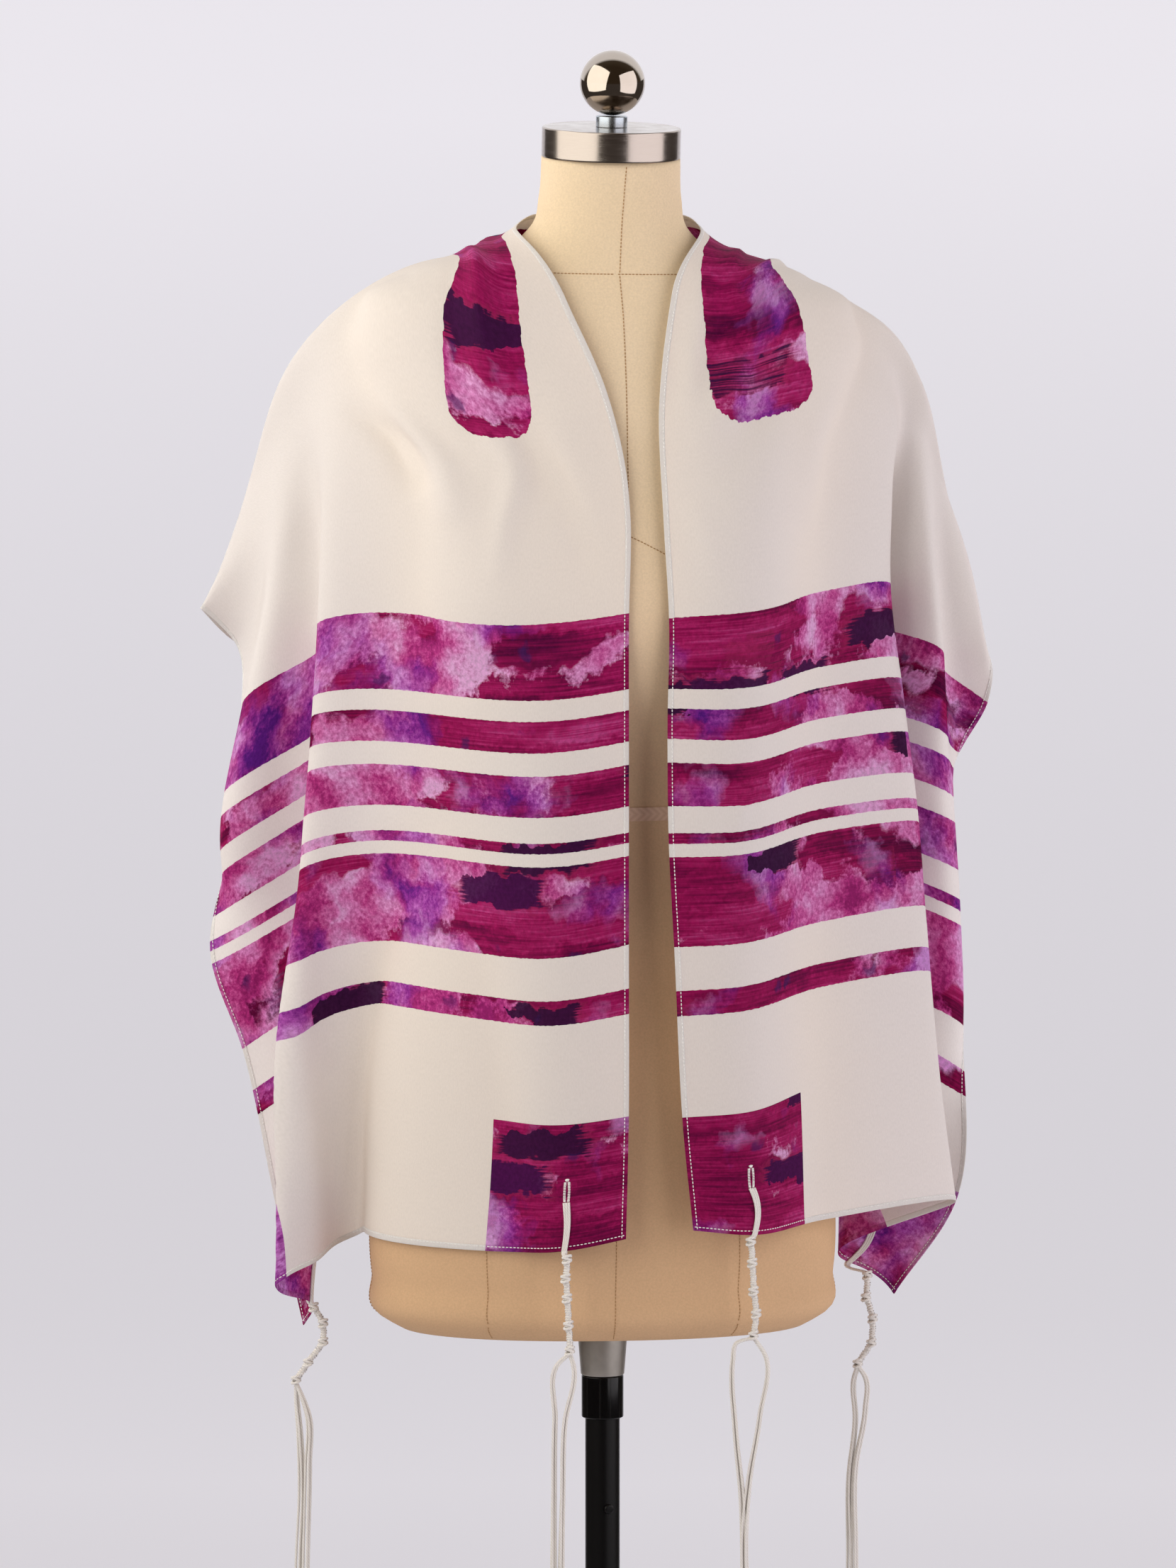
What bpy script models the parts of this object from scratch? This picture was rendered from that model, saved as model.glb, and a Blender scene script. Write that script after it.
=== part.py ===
"""Prayer shawl (tallit) on a limbless dress form, standing on a pole and a round base plate.

Metres, +Z up, the front faces -Y. The origin is on the floor, under the pole's axis.
The shawl is one rectangular silk panel, worn open over both shoulders. Its length runs
from the hem of one front, round the neck, to the hem of the other front.
"""
import math

import bmesh
import bpy
import numpy as np
from mathutils import Matrix

MM = 0.001
GAP = 0.3 * MM                    # clearance between pieces that touch

# Shawl, cut flat
SHAWL_LENGTH = 1.830
SHAWL_WIDTH = 0.460
CLOTH_WALL = 1.6 * MM
HEM_WALL = 2.4 * MM
HEM_WIDTH = 6 * MM
SLIT_FROM_EDGE = 0.050            # eyelet slit of each tassel, from the long edge
SLIT_FROM_HEM = 0.042             # and from the short hem

# Dress form
FORM_TURN = math.radians(5)       # the form faces slightly to +X
SHOULDER_TILT = math.radians(1.2) # its neck and shoulders lean, and +X is the lower side
FORM_TOP = 1.508
CLOTH_CLEARANCE = 4.0 * MM        # cloth's middle surface to the form
SHOULDER_CLEARANCE = 8.0 * MM
FOLD_ROUNDING = 12 * MM           # how far a fold's turn is spread along the cloth
TAPE_LOW = 1.031                  # waist tape's lower and upper edge
TAPE_HIGH = 1.041
TAPE_WALL = 0.8 * MM
CAP_RADIUS = 50.8 * MM
CAP_HEIGHT = 22 * MM
CAP_CENTRE = (6 * MM, -4 * MM)
STEM_RADIUS = 11.5 * MM
STEM_HEIGHT = 8 * MM
BALL_RADIUS = 23.8 * MM

# Stand
POLE_RADIUS = 12.7 * MM
SLEEVE_RADIUS = 15.5 * MM
SLEEVE_BOTTOM = 0.576
CONE_BOTTOM = 0.608
CONE_TOP_RADIUS = 19 * MM
CONE_BOTTOM_RADIUS = 16 * MM
PLATE_RADIUS = 0.200
PLATE_HEIGHT = 10 * MM
SOCKET_RADIUS = 20 * MM
SOCKET_HEIGHT = 28 * MM
BUTTON_HEIGHT = 0.509
BUTTON_RADIUS = 3.6 * MM
BUTTON_DEPTH = 2.4 * MM
BUTTON_TURN = math.radians(20)    # round the pole from the front

# Torso sections: height, half width, depth to the front, depth to the back (mm)
TORSO_SECTIONS = (
    ("rounded under edge", 647, 150, 96, 98),
    ("lower edge", 655, 164, 109, 110),
    ("hip line", 686, 170, 114, 117),
    ("full hip", 760, 171, 116, 120),
    ("high hip", 870, 168, 113, 118),
    ("over waist", 950, 157, 107, 108),
    ("waist", 1036, 137, 99, 95),
    ("rib", 1100, 143, 105, 97),
    ("under bust", 1140, 148, 114, 101),
    ("bust", 1185, 153, 124, 105),
    ("over bust", 1240, 158, 119, 107),
    ("chest", 1300, 166, 105, 106),
    ("armhole", 1350, 176, 90, 96),
    ("shoulder tip", 1382, 177, 77, 79),
    ("shoulder", 1402, 163, 70, 67),
    ("shoulder slope", 1420, 124, 63, 60),
    ("neck root", 1438, 79, 57, 56),
    ("neck base", 1456, 57.5, 53, 53),
    ("neck", 1478, 52, 51, 51.5),
    ("neck top", 1508, 50.5, 50, 50.5),
)
SECTION_POWER = 2.25              # 2 is an ellipse, more is squarer

# The shawl's two halves. Each row is a line across the cloth at one distance along it, from
# the front hem (0) to the nape (half the length). The columns are points on that line (mm):
#   edge      the long edge that runs up the front and round the neck
#   press     the faint pressed fold beside that edge
#   chest     the end of the front panel's flat
#   fold_1    the front panel's outer fold
#   valley_1  the valley behind it
#   fold_2    the side layer's outer fold
#   valley_2  the valley behind that
#   cape      the fold where the cloth falls from the shoulder
#   outer     the outer long edge
NAPE_ROW = ((0, 67, 1460), (0, 79, 1425), (0, 92, 1378), (0, 104, 1312), (0, 111, 1252),
            (0, 116, 1192), (0, 121, 1132), (0, 128, 1072), (0, 138, 1014))
LEFT_ROWS = {
    0.0000: ((17, -122, 728), (-30, -125, 718), (-179, 5, 712), (-247, -56, 681), (-208, 18, 656),
             (-213, 25, 650), (-216, 30, 646), (-219, 34, 642), (-221, 38, 638)),
    0.1000: ((19, -122, 817), (-30, -126, 810), (-182, -14, 811), (-242, -50, 773), (-203, 18, 745),
             (-221, 23, 735), (-229, 26, 730), (-235, 29, 726), (-240, 31, 723)),
    0.2225: ((19, -121, 943), (-30, -126, 933), (-182, -34, 933), (-234, -50, 918), (-195, 16, 893),
             (-235, 21, 866), (-248, 24, 857), (-257, 27, 850), (-265, 30, 844)),
    0.3000: ((19, -120, 1019), (-30, -126, 1011), (-182, -42, 1010), (-229, -50, 1000),
             (-194, 14, 978), (-250, 16, 941), (-268, 22, 929), (-280, 29, 922), (-289, 36, 917)),
    0.3800: ((19, -120, 1097), (-30, -127, 1089), (-181, -50, 1089), (-223, -50, 1085),
             (-194, 8, 1062), (-284, 2, 1001), (-285, 20, 996), (-281, 36, 993), (-275, 50, 991)),
    0.4720: ((19, -126, 1188), (-30, -130, 1181), (-181, -58, 1180), (-216, -50, 1172),
             (-193, 2, 1153), (-267, 0, 1110), (-264, 26, 1099), (-265, 46, 1093), (-266, 66, 1089)),
    0.5450: ((20, -119, 1259), (-30, -123, 1251), (-181, -58, 1251), (-212, -44, 1246),
             (-197, 2, 1225), (-252, 0, 1186), (-247, 34, 1168), (-262, 60, 1152), (-270, 84, 1139)),
    0.6000: ((14, -110, 1306), (-39, -116, 1291), (-178, -54, 1302), (-210, -34, 1291),
             (-205, 2, 1277), (-242, 4, 1249), (-246, 31, 1228), (-276, 48, 1206), (-296, 66, 1168)),
    0.6400: ((4, -100, 1343), (-48, -108, 1326), (-175, -46, 1337), (-209, -22, 1328),
             (-213, 4, 1316), (-235, 12, 1297), (-245, 34, 1276), (-269, 56, 1240), (-272, 112, 1138)),
    0.7200: ((-28, -73, 1413), (-76, -64, 1402), (-124, -18, 1425), (-187, 0, 1403),
             (-211, 10, 1381), (-228, 20, 1358), (-240, 37, 1322), (-243, 58, 1264), (-212, 106, 1150)),
    0.8200: ((-57, 10, 1457), (-80, 26, 1447), (-108, 44, 1424), (-140, 75, 1380), (-157, 95, 1330),
             (-164, 108, 1280), (-158, 117, 1230), (-142, 126, 1160), (-112, 134, 1078)),
    0.9150: NAPE_ROW,
}
RIGHT_ROWS = {
    0.0000: ((66, -120, 734), (108, -117, 730), (161, -52, 731), (262, 30, 732), (173, 80, 683),
             (196, 86, 672), (206, 82, 666), (212, 77, 661), (216, 71, 656)),
    0.1000: ((58, -121, 816), (104, -118, 819), (161, -42, 828), (250, 30, 827), (175, 77, 780),
             (225, 73, 750), (244, 66, 741), (256, 58, 736), (263, 50, 734)),
    0.2225: ((52, -121, 941), (98, -118, 943), (161, -34, 948), (239, 24, 951), (176, 80, 909),
             (260, 62, 862), (267, 68, 856), (268, 74, 854), (266, 79, 853)),
    0.3000: ((48, -120, 1018), (98, -118, 1019), (161, -34, 1025), (233, 24, 1024), (178, 78, 986),
             (259, 58, 947), (265, 68, 942), (264, 79, 940), (260, 89, 939)),
    0.3800: ((47, -120, 1099), (98, -119, 1098), (161, -34, 1103), (223, 24, 1102),
             (180, 78, 1068), (254, 52, 1038), (259, 68, 1031), (258, 84, 1028), (253, 98, 1027)),
    0.4720: ((48, -124, 1184), (97, -122, 1188), (160, -36, 1193), (212, 22, 1192),
             (192, 66, 1161), (250, 36, 1142), (251, 68, 1122), (272, 76, 1106), (284, 70, 1098)),
    0.5450: ((44, -118, 1256), (97, -118, 1258), (163, -32, 1265), (213, 16, 1262), (200, 52, 1238),
             (243, 32, 1217), (246, 56, 1200), (269, 60, 1184), (286, 74, 1128)),
    0.6400: ((41, -95, 1342), (92, -92, 1342), (171, -22, 1350), (213, 10, 1331), (220, 29, 1313),
             (235, 34, 1298), (243, 47, 1276), (258, 62, 1240), (258, 104, 1126)),
    0.7200: ((50, -65, 1415), (98, -50, 1410), (129, -14, 1418), (181, 4, 1400), (212, 12, 1379),
             (231, 24, 1342), (238, 40, 1310), (238, 62, 1255), (200, 112, 1128)),
    0.8200: ((59, 12, 1454), (82, 28, 1443), (110, 44, 1421), (142, 75, 1378), (158, 95, 1330),
             (165, 108, 1280), (159, 117, 1230), (142, 126, 1160), (112, 136, 1075)),
    0.9150: NAPE_ROW,
}

# Soft creases: half of the shawl, start and end as (along, across) in mm, half width, height
CREASES = (
    ("left", (640, 205), (560, 165), 16, -5.0),
    ("left", (650, 160), (540, 130), 15, 4.5),
    ("left", (700, 75), (560, 60), 16, -5.0),
    ("left", (760, 50), (600, 95), 15, 4.5),
    ("left", (250, 285), (0, 290), 20, -4.0),
    ("right", (700, 110), (560, 40), 22, -5.0),
    ("right", (720, 70), (600, 35), 15, 4.0),
    ("right", (640, 150), (520, 120), 20, 3.5),
    ("left", (900, 150), (860, 420), 24, 6.0),
    ("left", (820, 220), (800, 450), 24, -5.5),
    ("right", (880, 170), (850, 440), 24, 6.0),
    ("right", (800, 240), (790, 450), 22, -5.5),
)

ALONG_STATIONS = 30               # stations on each half, hems aside
FLAT_STATIONS = 11                # stations across the front's flat
FOLD_STATIONS = 22                # stations across its folds
FLAT_WIDTH = 0.200

# Tassels: half, whether at the neck edge or the outer edge, and the knots below the hem (mm):
# sideways and depth from the hem, and height
TASSELS = (
    ("tassel_left_outer", "left", "outer",
     ((-213, 6, 657), (-206, 5, 645), (-206, 5, 631), (-217, 5, 616), (-226, 5, 603))),
    ("tassel_left_front", "left", "front",
     ((-26, -139, 716), (-27, -139, 702), (-26, -138, 687), (-25, -137, 667), (-24, -136, 648))),
    ("tassel_right_front", "right", "front",
     ((108, -118, 726), (109, -118, 710), (110, -117, 689), (112, -116, 672), (110, -115, 656))),
    ("tassel_right_outer", "right", "outer",
     ((196, 60, 672), (195, 58, 656), (200, 56, 640), (199, 55, 622), (189, 54, 607))),
)
CORD_RADIUS = 2.1 * MM
CORD_STEP = 4.0 * MM
KNOT_RADIUS = 3.8 * MM
STRAND_RADIUS = 0.9 * MM
STRAND_LENGTH = 0.205
STRAND_SPREAD = 5 * MM
STRAND_SEGMENTS = 6
STRANDS = 8


def material(name, colour, roughness, metallic=0.0):
    """A Principled material of one plain colour."""
    made = bpy.data.materials.new(name)
    made.use_nodes = True
    shader = made.node_tree.nodes["Principled BSDF"]
    shader.inputs["Base Color"].default_value = (*colour, 1)
    shader.inputs["Roughness"].default_value = roughness
    shader.inputs["Metallic"].default_value = metallic
    return made


def add_object(name, mesh, surface):
    """Put a mesh in the part's collection, with its material."""
    made = bpy.data.objects.new(name, mesh)
    made.data.materials.clear()
    made.data.materials.append(surface)
    PART.objects.link(made)
    return made


def grid_mesh(name, grid, wrap=False, caps=False):
    """A mesh of quads through a grid of points; wrap joins the last column to the first."""
    rows, columns = grid.shape[:2]
    mesh = bpy.data.meshes.new(name)
    bm = bmesh.new()
    verts = [[bm.verts.new(point) for point in row] for row in grid]
    for i in range(rows - 1):
        for j in range(columns if wrap else columns - 1):
            k = (j + 1) % columns
            bm.faces.new((verts[i][j], verts[i][k], verts[i + 1][k], verts[i + 1][j]))
    if caps:
        bm.faces.new(list(reversed(verts[0])))
        bm.faces.new(verts[-1])
    bm.to_mesh(mesh)
    bm.free()
    return mesh


def smooth_curve(knots, values, at):
    """Cubic through the values at the knots, with slopes from their neighbours."""
    knots = np.asarray(knots, float)
    values = np.asarray(values, float)
    at = np.clip(np.asarray(at, float), knots[0], knots[-1])
    slopes = np.gradient(values, knots, axis=0)
    cell = np.clip(np.searchsorted(knots, at, side="right") - 1, 0, len(knots) - 2)
    span = knots[cell + 1] - knots[cell]
    u = (at - knots[cell]) / span
    shape = u.shape + (1,) * (values.ndim - 1)
    u = u.reshape(shape)
    span = span.reshape(shape)
    return ((2 * u**3 - 3 * u**2 + 1) * values[cell] + (u**3 - 2 * u**2 + u) * span * slopes[cell]
            + (3 * u**2 - 2 * u**3) * values[cell + 1] + (u**3 - u**2) * span * slopes[cell + 1])


def torso_sizes(height):
    """Half width, front depth and back depth of the torso at each height (m)."""
    table = np.array([row[1:] for row in TORSO_SECTIONS]) * MM
    return np.moveaxis(smooth_curve(table[:, 0], table[:, 1:], height), -1, 0)


def shoulder_drop(x, height):
    """How far the shoulders' tilt lowers a point of the torso."""
    return x * math.tan(SHOULDER_TILT) * np.clip((height - 1.25) / 0.15, 0, 1)


def torso_ring(height, angles, out=0.0):
    """Points round the torso at one height, moved out by a distance."""
    width, front, back = torso_sizes(np.array([height]))
    depth = np.where(np.sin(angles) < 0, front, back)
    power = 2 / SECTION_POWER
    x = (width + out) * np.sign(np.cos(angles)) * np.abs(np.cos(angles)) ** power
    y = (depth + out) * np.sign(np.sin(angles)) * np.abs(np.sin(angles)) ** power
    lean = CAP_CENTRE[0] * np.clip((height - 1.2) / (FORM_TOP - 1.2), 0, 1)
    c, s = math.cos(FORM_TURN), math.sin(FORM_TURN)
    drop = shoulder_drop(x, height)
    return np.stack([c * x - s * y + lean, s * x + c * y, height - drop], -1)


def torso_field(points):
    """Zero on the torso's surface, positive outside it."""
    c, s = math.cos(FORM_TURN), math.sin(FORM_TURN)
    lean = CAP_CENTRE[0] * np.clip((points[..., 2] - 1.2) / (FORM_TOP - 1.2), 0, 1)
    x = c * (points[..., 0] - lean) + s * points[..., 1]
    y = -s * (points[..., 0] - lean) + c * points[..., 1]
    width, front, back = torso_sizes(points[..., 2] + shoulder_drop(x, points[..., 2]))
    depth = np.where(y < 0, front, back)
    ratio = np.abs(x / width) ** SECTION_POWER + np.abs(y / depth) ** SECTION_POWER
    return ratio ** (1 / SECTION_POWER) - 1


def clear_of_torso(points):
    """Points moved out along the torso's normal, clear of it, and more so on its shoulders."""
    step = 0.5 * MM
    up = np.clip((points[..., 2] - 1.30) / 0.06, 0, 1)
    clearance = CLOTH_CLEARANCE + (SHOULDER_CLEARANCE - CLOTH_CLEARANCE) * up
    for _ in range(6):
        field = torso_field(points)
        slope = np.stack([(torso_field(points + step * axis) - field) / step
                          for axis in np.eye(3)], -1)
        size = np.linalg.norm(slope, axis=-1) + 1e-9
        lack = clearance - field / size
        push = np.where(lack > 0, lack, 0)
        points = points + (push / size)[..., None] * slope * 0.9
    return points


def half_sections(rows, along):
    """Dense lines across one half of the cloth, one for each distance along it."""
    knots = list(rows)
    table = np.array([rows[knot] for knot in knots]) * MM
    columns = smooth_curve(knots, table, along)
    lines = []
    for line in columns:
        chords = np.linalg.norm(np.diff(line, axis=0), axis=1) ** 0.75
        places = np.concatenate([[0], np.cumsum(chords)])
        lines.append(smooth_curve(places, line, np.linspace(0, places[-1], 161)))
    return np.array(lines)


def spread_evenly(lines, across):
    """Each line's points at the given distances across the cloth."""
    result = []
    for line in lines:
        length = np.concatenate([[0], np.cumsum(np.linalg.norm(np.diff(line, axis=0), axis=1))])
        place = length / length[-1] * SHAWL_WIDTH
        result.append(np.stack([np.interp(across, place, line[:, k]) for k in range(3)], -1))
    return np.array(result)


def round_folds(lines, reach):
    """Lines with their folds rounded to the radius that the cloth can turn."""
    even = np.linspace(0, SHAWL_WIDTH, 161)
    spacing = SHAWL_WIDTH / 160
    lines = spread_evenly(lines, even)
    for _ in range(int((reach / spacing) ** 2)):
        lines[:, 1:-1] += 0.25 * (lines[:, :-2] + lines[:, 2:] - 2 * lines[:, 1:-1])
    return lines


def outward_normals(grid, half):
    """Unit normals of one half's grid of points, on the cloth's right side."""
    down = np.gradient(grid, axis=0)
    side = np.gradient(grid, axis=1)
    normal = np.cross(down, side)
    if half == "right":
        normal = -normal
    return normal / (np.linalg.norm(normal, axis=-1, keepdims=True) + 1e-12)


def crease_height(half, along, across):
    """Height of the soft creases at each point of one half."""
    height = np.zeros(along.shape)
    for side, start, end, half_width, rise in CREASES:
        if side != half:
            continue
        start = np.array(start) * MM
        run = np.array(end) * MM - start
        offset = np.stack([along - start[0], across - start[1]], -1)
        place = (offset @ run) / (run @ run)
        away = np.linalg.norm(offset - np.clip(place, 0, 1)[..., None] * run, axis=-1)
        fade = np.sin(np.pi * np.clip(place, 0.02, 0.98)) ** 0.7
        height += rise * MM * fade * np.exp(-(away / (half_width * MM)) ** 2)
    return height


def half_surface(half, along, across):
    """The middle surface of one half of the shawl on a grid of (along, across)."""
    rows = LEFT_ROWS if half == "left" else RIGHT_ROWS
    lines = round_folds(half_sections(rows, along), FOLD_ROUNDING)
    lines = round_folds(clear_of_torso(lines), FOLD_ROUNDING / 2)
    grid = spread_evenly(clear_of_torso(lines), across)
    normal = outward_normals(grid, half)
    a, b = np.meshgrid(along, across, indexing="ij")
    grid = grid + crease_height(half, a, b)[..., None] * normal
    return clear_of_torso(grid)


def shawl_surface(along_count, flat_count, fold_count):
    """The whole middle surface, from the left front hem round the neck to the right one."""
    half_length = SHAWL_LENGTH / 2
    along = np.concatenate([[0], np.linspace(HEM_WIDTH, half_length, along_count)])
    across = np.concatenate([[0], np.linspace(HEM_WIDTH, FLAT_WIDTH, flat_count)[:-1],
                             np.linspace(FLAT_WIDTH, SHAWL_WIDTH - HEM_WIDTH, fold_count),
                             [SHAWL_WIDTH]])
    left = half_surface("left", along, across)
    right = half_surface("right", along, across)
    return np.concatenate([left, right[-2::-1]])


def make_shawl(surface):
    """The silk panel, thicker along its narrow hem."""
    grid = shawl_surface(ALONG_STATIONS, FLAT_STATIONS, FOLD_STATIONS)
    mesh = grid_mesh("shawl_panel", grid)
    panel = add_object("shawl_panel", mesh, surface)
    rows, columns = grid.shape[:2]
    thin = panel.vertex_groups.new(name="hem")
    for i in range(rows):
        for j in range(columns):
            on_hem = i < 2 or j < 2 or i > rows - 3 or j > columns - 3
            weight = 1.0 if on_hem else CLOTH_WALL / HEM_WALL
            thin.add([i * columns + j], weight, "REPLACE")
    wall = panel.modifiers.new("wall", "SOLIDIFY")
    wall.thickness = HEM_WALL
    wall.offset = 0
    wall.vertex_group = "hem"
    return panel


def make_torso(surface):
    """The padded torso, a loft through its sections."""
    angles = np.linspace(0, 2 * math.pi, 40, endpoint=False)
    heights = sorted([row[1] * MM for row in TORSO_SECTIONS] + [TAPE_LOW, TAPE_HIGH])
    grid = np.array([torso_ring(height, angles) for height in heights])
    return add_object("form_torso", grid_mesh("form_torso", grid, wrap=True, caps=True), surface)


def turned(name, profile, surface, segments=32):
    """A turned piece: profile as (radius, height) pairs, down its outer side."""
    bm = bmesh.new()
    verts = [bm.verts.new((radius, 0, height)) for radius, height in profile]
    closed = min(radius for radius, _ in profile) > 0
    for first, second in zip(verts, verts[1:]):
        bm.edges.new((first, second))
    if closed:
        bm.edges.new((verts[-1], verts[0]))
    mesh = bpy.data.meshes.new(name)
    bm.to_mesh(mesh)
    bm.free()
    piece = add_object(name, mesh, surface)
    screw = piece.modifiers.new("turn", "SCREW")
    screw.steps = segments
    screw.render_steps = segments
    screw.use_merge_vertices = True
    screw.merge_threshold = 0.00001
    screw.use_smooth_shade = True
    return piece


def solid_profile(radius, low, high, edge):
    """A disc's or rod's outline with small bevels, from its top centre to its bottom centre."""
    return ((0, high), (radius - edge, high), (radius, high - edge),
            (radius, low + edge), (radius - edge, low), (0, low))


def ring_profile(inner, outer_top, outer_bottom, low, high):
    """A ring's outline, down its outer side and up its bore."""
    return ((inner, high), (outer_top, high), (outer_bottom, low), (inner, low))


def make_tape(surface):
    """The narrow twill tape round the waist."""
    angles = np.linspace(0, 2 * math.pi, 40, endpoint=False)
    outer = GAP + TAPE_WALL
    rings = [torso_ring(TAPE_LOW, angles, GAP), torso_ring(TAPE_LOW, angles, outer),
             torso_ring(TAPE_HIGH, angles, outer), torso_ring(TAPE_HIGH, angles, GAP)]
    mesh = grid_mesh("waist_tape", np.array(rings), wrap=True)
    bm = bmesh.new()
    bm.from_mesh(mesh)
    bm.verts.ensure_lookup_table()
    count = len(angles)
    for j in range(count):
        k = (j + 1) % count
        bm.faces.new((bm.verts[3 * count + j], bm.verts[3 * count + k], bm.verts[k], bm.verts[j]))
    bmesh.ops.recalc_face_normals(bm, faces=bm.faces)
    bm.to_mesh(mesh)
    bm.free()
    return add_object("waist_tape", mesh, surface)


def place_primitive(name, surface, location):
    """Name the primitive just added, put it in the part's collection and place it."""
    piece = bpy.context.object
    for holder in list(piece.users_collection):
        holder.objects.unlink(piece)
    PART.objects.link(piece)
    piece.name = name
    piece.location = location
    piece.data.materials.append(surface)
    return piece


def make_neck(steel, polished):
    """The flat neck cap, and the finial's stem and ball on it, all tilted with the neck."""
    neck_top = bpy.data.objects.new("neck_top", None)
    neck_top.location = (*CAP_CENTRE, FORM_TOP)
    neck_top.rotation_euler = (0, SHOULDER_TILT, FORM_TURN)
    PART.objects.link(neck_top)
    stem_low = CAP_HEIGHT + 2 * GAP
    ball_low = stem_low + STEM_HEIGHT + GAP
    cap = turned("neck_cap", solid_profile(CAP_RADIUS, GAP, GAP + CAP_HEIGHT, 1 * MM), steel, 64)
    stem = turned("finial_stem", solid_profile(STEM_RADIUS, stem_low, stem_low + STEM_HEIGHT,
                                               0.5 * MM), polished)
    bpy.ops.mesh.primitive_uv_sphere_add(segments=28, ring_count=14, radius=BALL_RADIUS)
    ball = place_primitive("finial_ball", polished, (0, 0, ball_low + BALL_RADIUS))
    for piece in (cap, stem, ball):
        piece.parent = neck_top


def make_pole(enamel, plastic, satin):
    """The pole in its socket, with the sleeve and the cone that carry the torso."""
    bore = POLE_RADIUS + GAP
    torso_low = TORSO_SECTIONS[0][1] * MM
    turned("cone_collar", ring_profile(bore, CONE_TOP_RADIUS, CONE_BOTTOM_RADIUS,
                                       CONE_BOTTOM, torso_low - GAP), satin)
    turned("pole_sleeve", ring_profile(bore, SLEEVE_RADIUS, SLEEVE_RADIUS,
                                       SLEEVE_BOTTOM, CONE_BOTTOM - GAP), plastic)
    turned("pole", solid_profile(POLE_RADIUS, PLATE_HEIGHT + GAP, torso_low - GAP, 0.5 * MM),
           enamel)
    turned("pole_socket", ring_profile(bore, SOCKET_RADIUS - 3 * MM, SOCKET_RADIUS,
                                       PLATE_HEIGHT + GAP, PLATE_HEIGHT + SOCKET_HEIGHT), enamel)
    turned("base_plate", solid_profile(PLATE_RADIUS, 0, PLATE_HEIGHT, 2 * MM), enamel,
           segments=64)


def make_snap_button(polished):
    """The button that locks the pole's height, on the front of the pole."""
    bpy.ops.mesh.primitive_cylinder_add(vertices=20, radius=BUTTON_RADIUS, depth=BUTTON_DEPTH)
    reach = POLE_RADIUS + GAP + BUTTON_DEPTH / 2
    place = (reach * math.sin(BUTTON_TURN), -reach * math.cos(BUTTON_TURN), BUTTON_HEIGHT)
    button = place_primitive("snap_button", polished, place)
    button.rotation_euler = (math.pi / 2, 0, BUTTON_TURN)


def tube_rings(points, radii, sides):
    """Rings of a tube through the points."""
    ahead = np.gradient(points, axis=0)
    ahead /= np.linalg.norm(ahead, axis=1, keepdims=True)
    across = np.cross(ahead, np.array([0.0, 1.0, 0.0]))
    across /= np.linalg.norm(across, axis=1, keepdims=True)
    third = np.cross(ahead, across)
    angles = np.linspace(0, 2 * math.pi, sides, endpoint=False)[None, :, None]
    ring = np.cos(angles) * across[:, None] + np.sin(angles) * third[:, None]
    return points[:, None] + radii[:, None, None] * ring


def tassel_cord(half, place, knots):
    """Points and radii of the knotted cord, from the slit down over the hem to its last knot."""
    slit = SLIT_FROM_EDGE if place == "front" else SHAWL_WIDTH - SLIT_FROM_EDGE
    leg_along = np.linspace(SLIT_FROM_HEM, 0, 5)
    near_slit = np.linspace(slit - 10 * MM, slit + 10 * MM, 3)
    along = np.linspace(0, 60 * MM, 25)
    across = np.concatenate([[0], near_slit, [SHAWL_WIDTH]])
    grid = half_surface(half, along, across)
    normal = outward_normals(grid, half)
    off = HEM_WALL / 2 + GAP + CORD_RADIUS + 0.6 * MM
    line = grid[:, 2] + off * normal[:, 2]
    leg = np.stack([np.interp(leg_along, along, line[:, k]) for k in range(3)], -1)
    tied = np.array(knots) * MM
    tail = tied[-1] + np.array([0, 0, -7 * MM])
    route = np.concatenate([leg, tied, [tail]])
    places = np.concatenate([[0], np.cumsum(np.linalg.norm(np.diff(route, axis=0), axis=1))])
    fine = np.linspace(0, places[-1], int(places[-1] / CORD_STEP))
    points = smooth_curve(places, route, fine)
    knot_places = places[len(leg):-1]
    bump = np.exp(-((fine[:, None] - knot_places[None]) / (3.6 * MM)) ** 2).max(axis=1)
    return points, CORD_RADIUS + (KNOT_RADIUS - CORD_RADIUS) * bump


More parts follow.
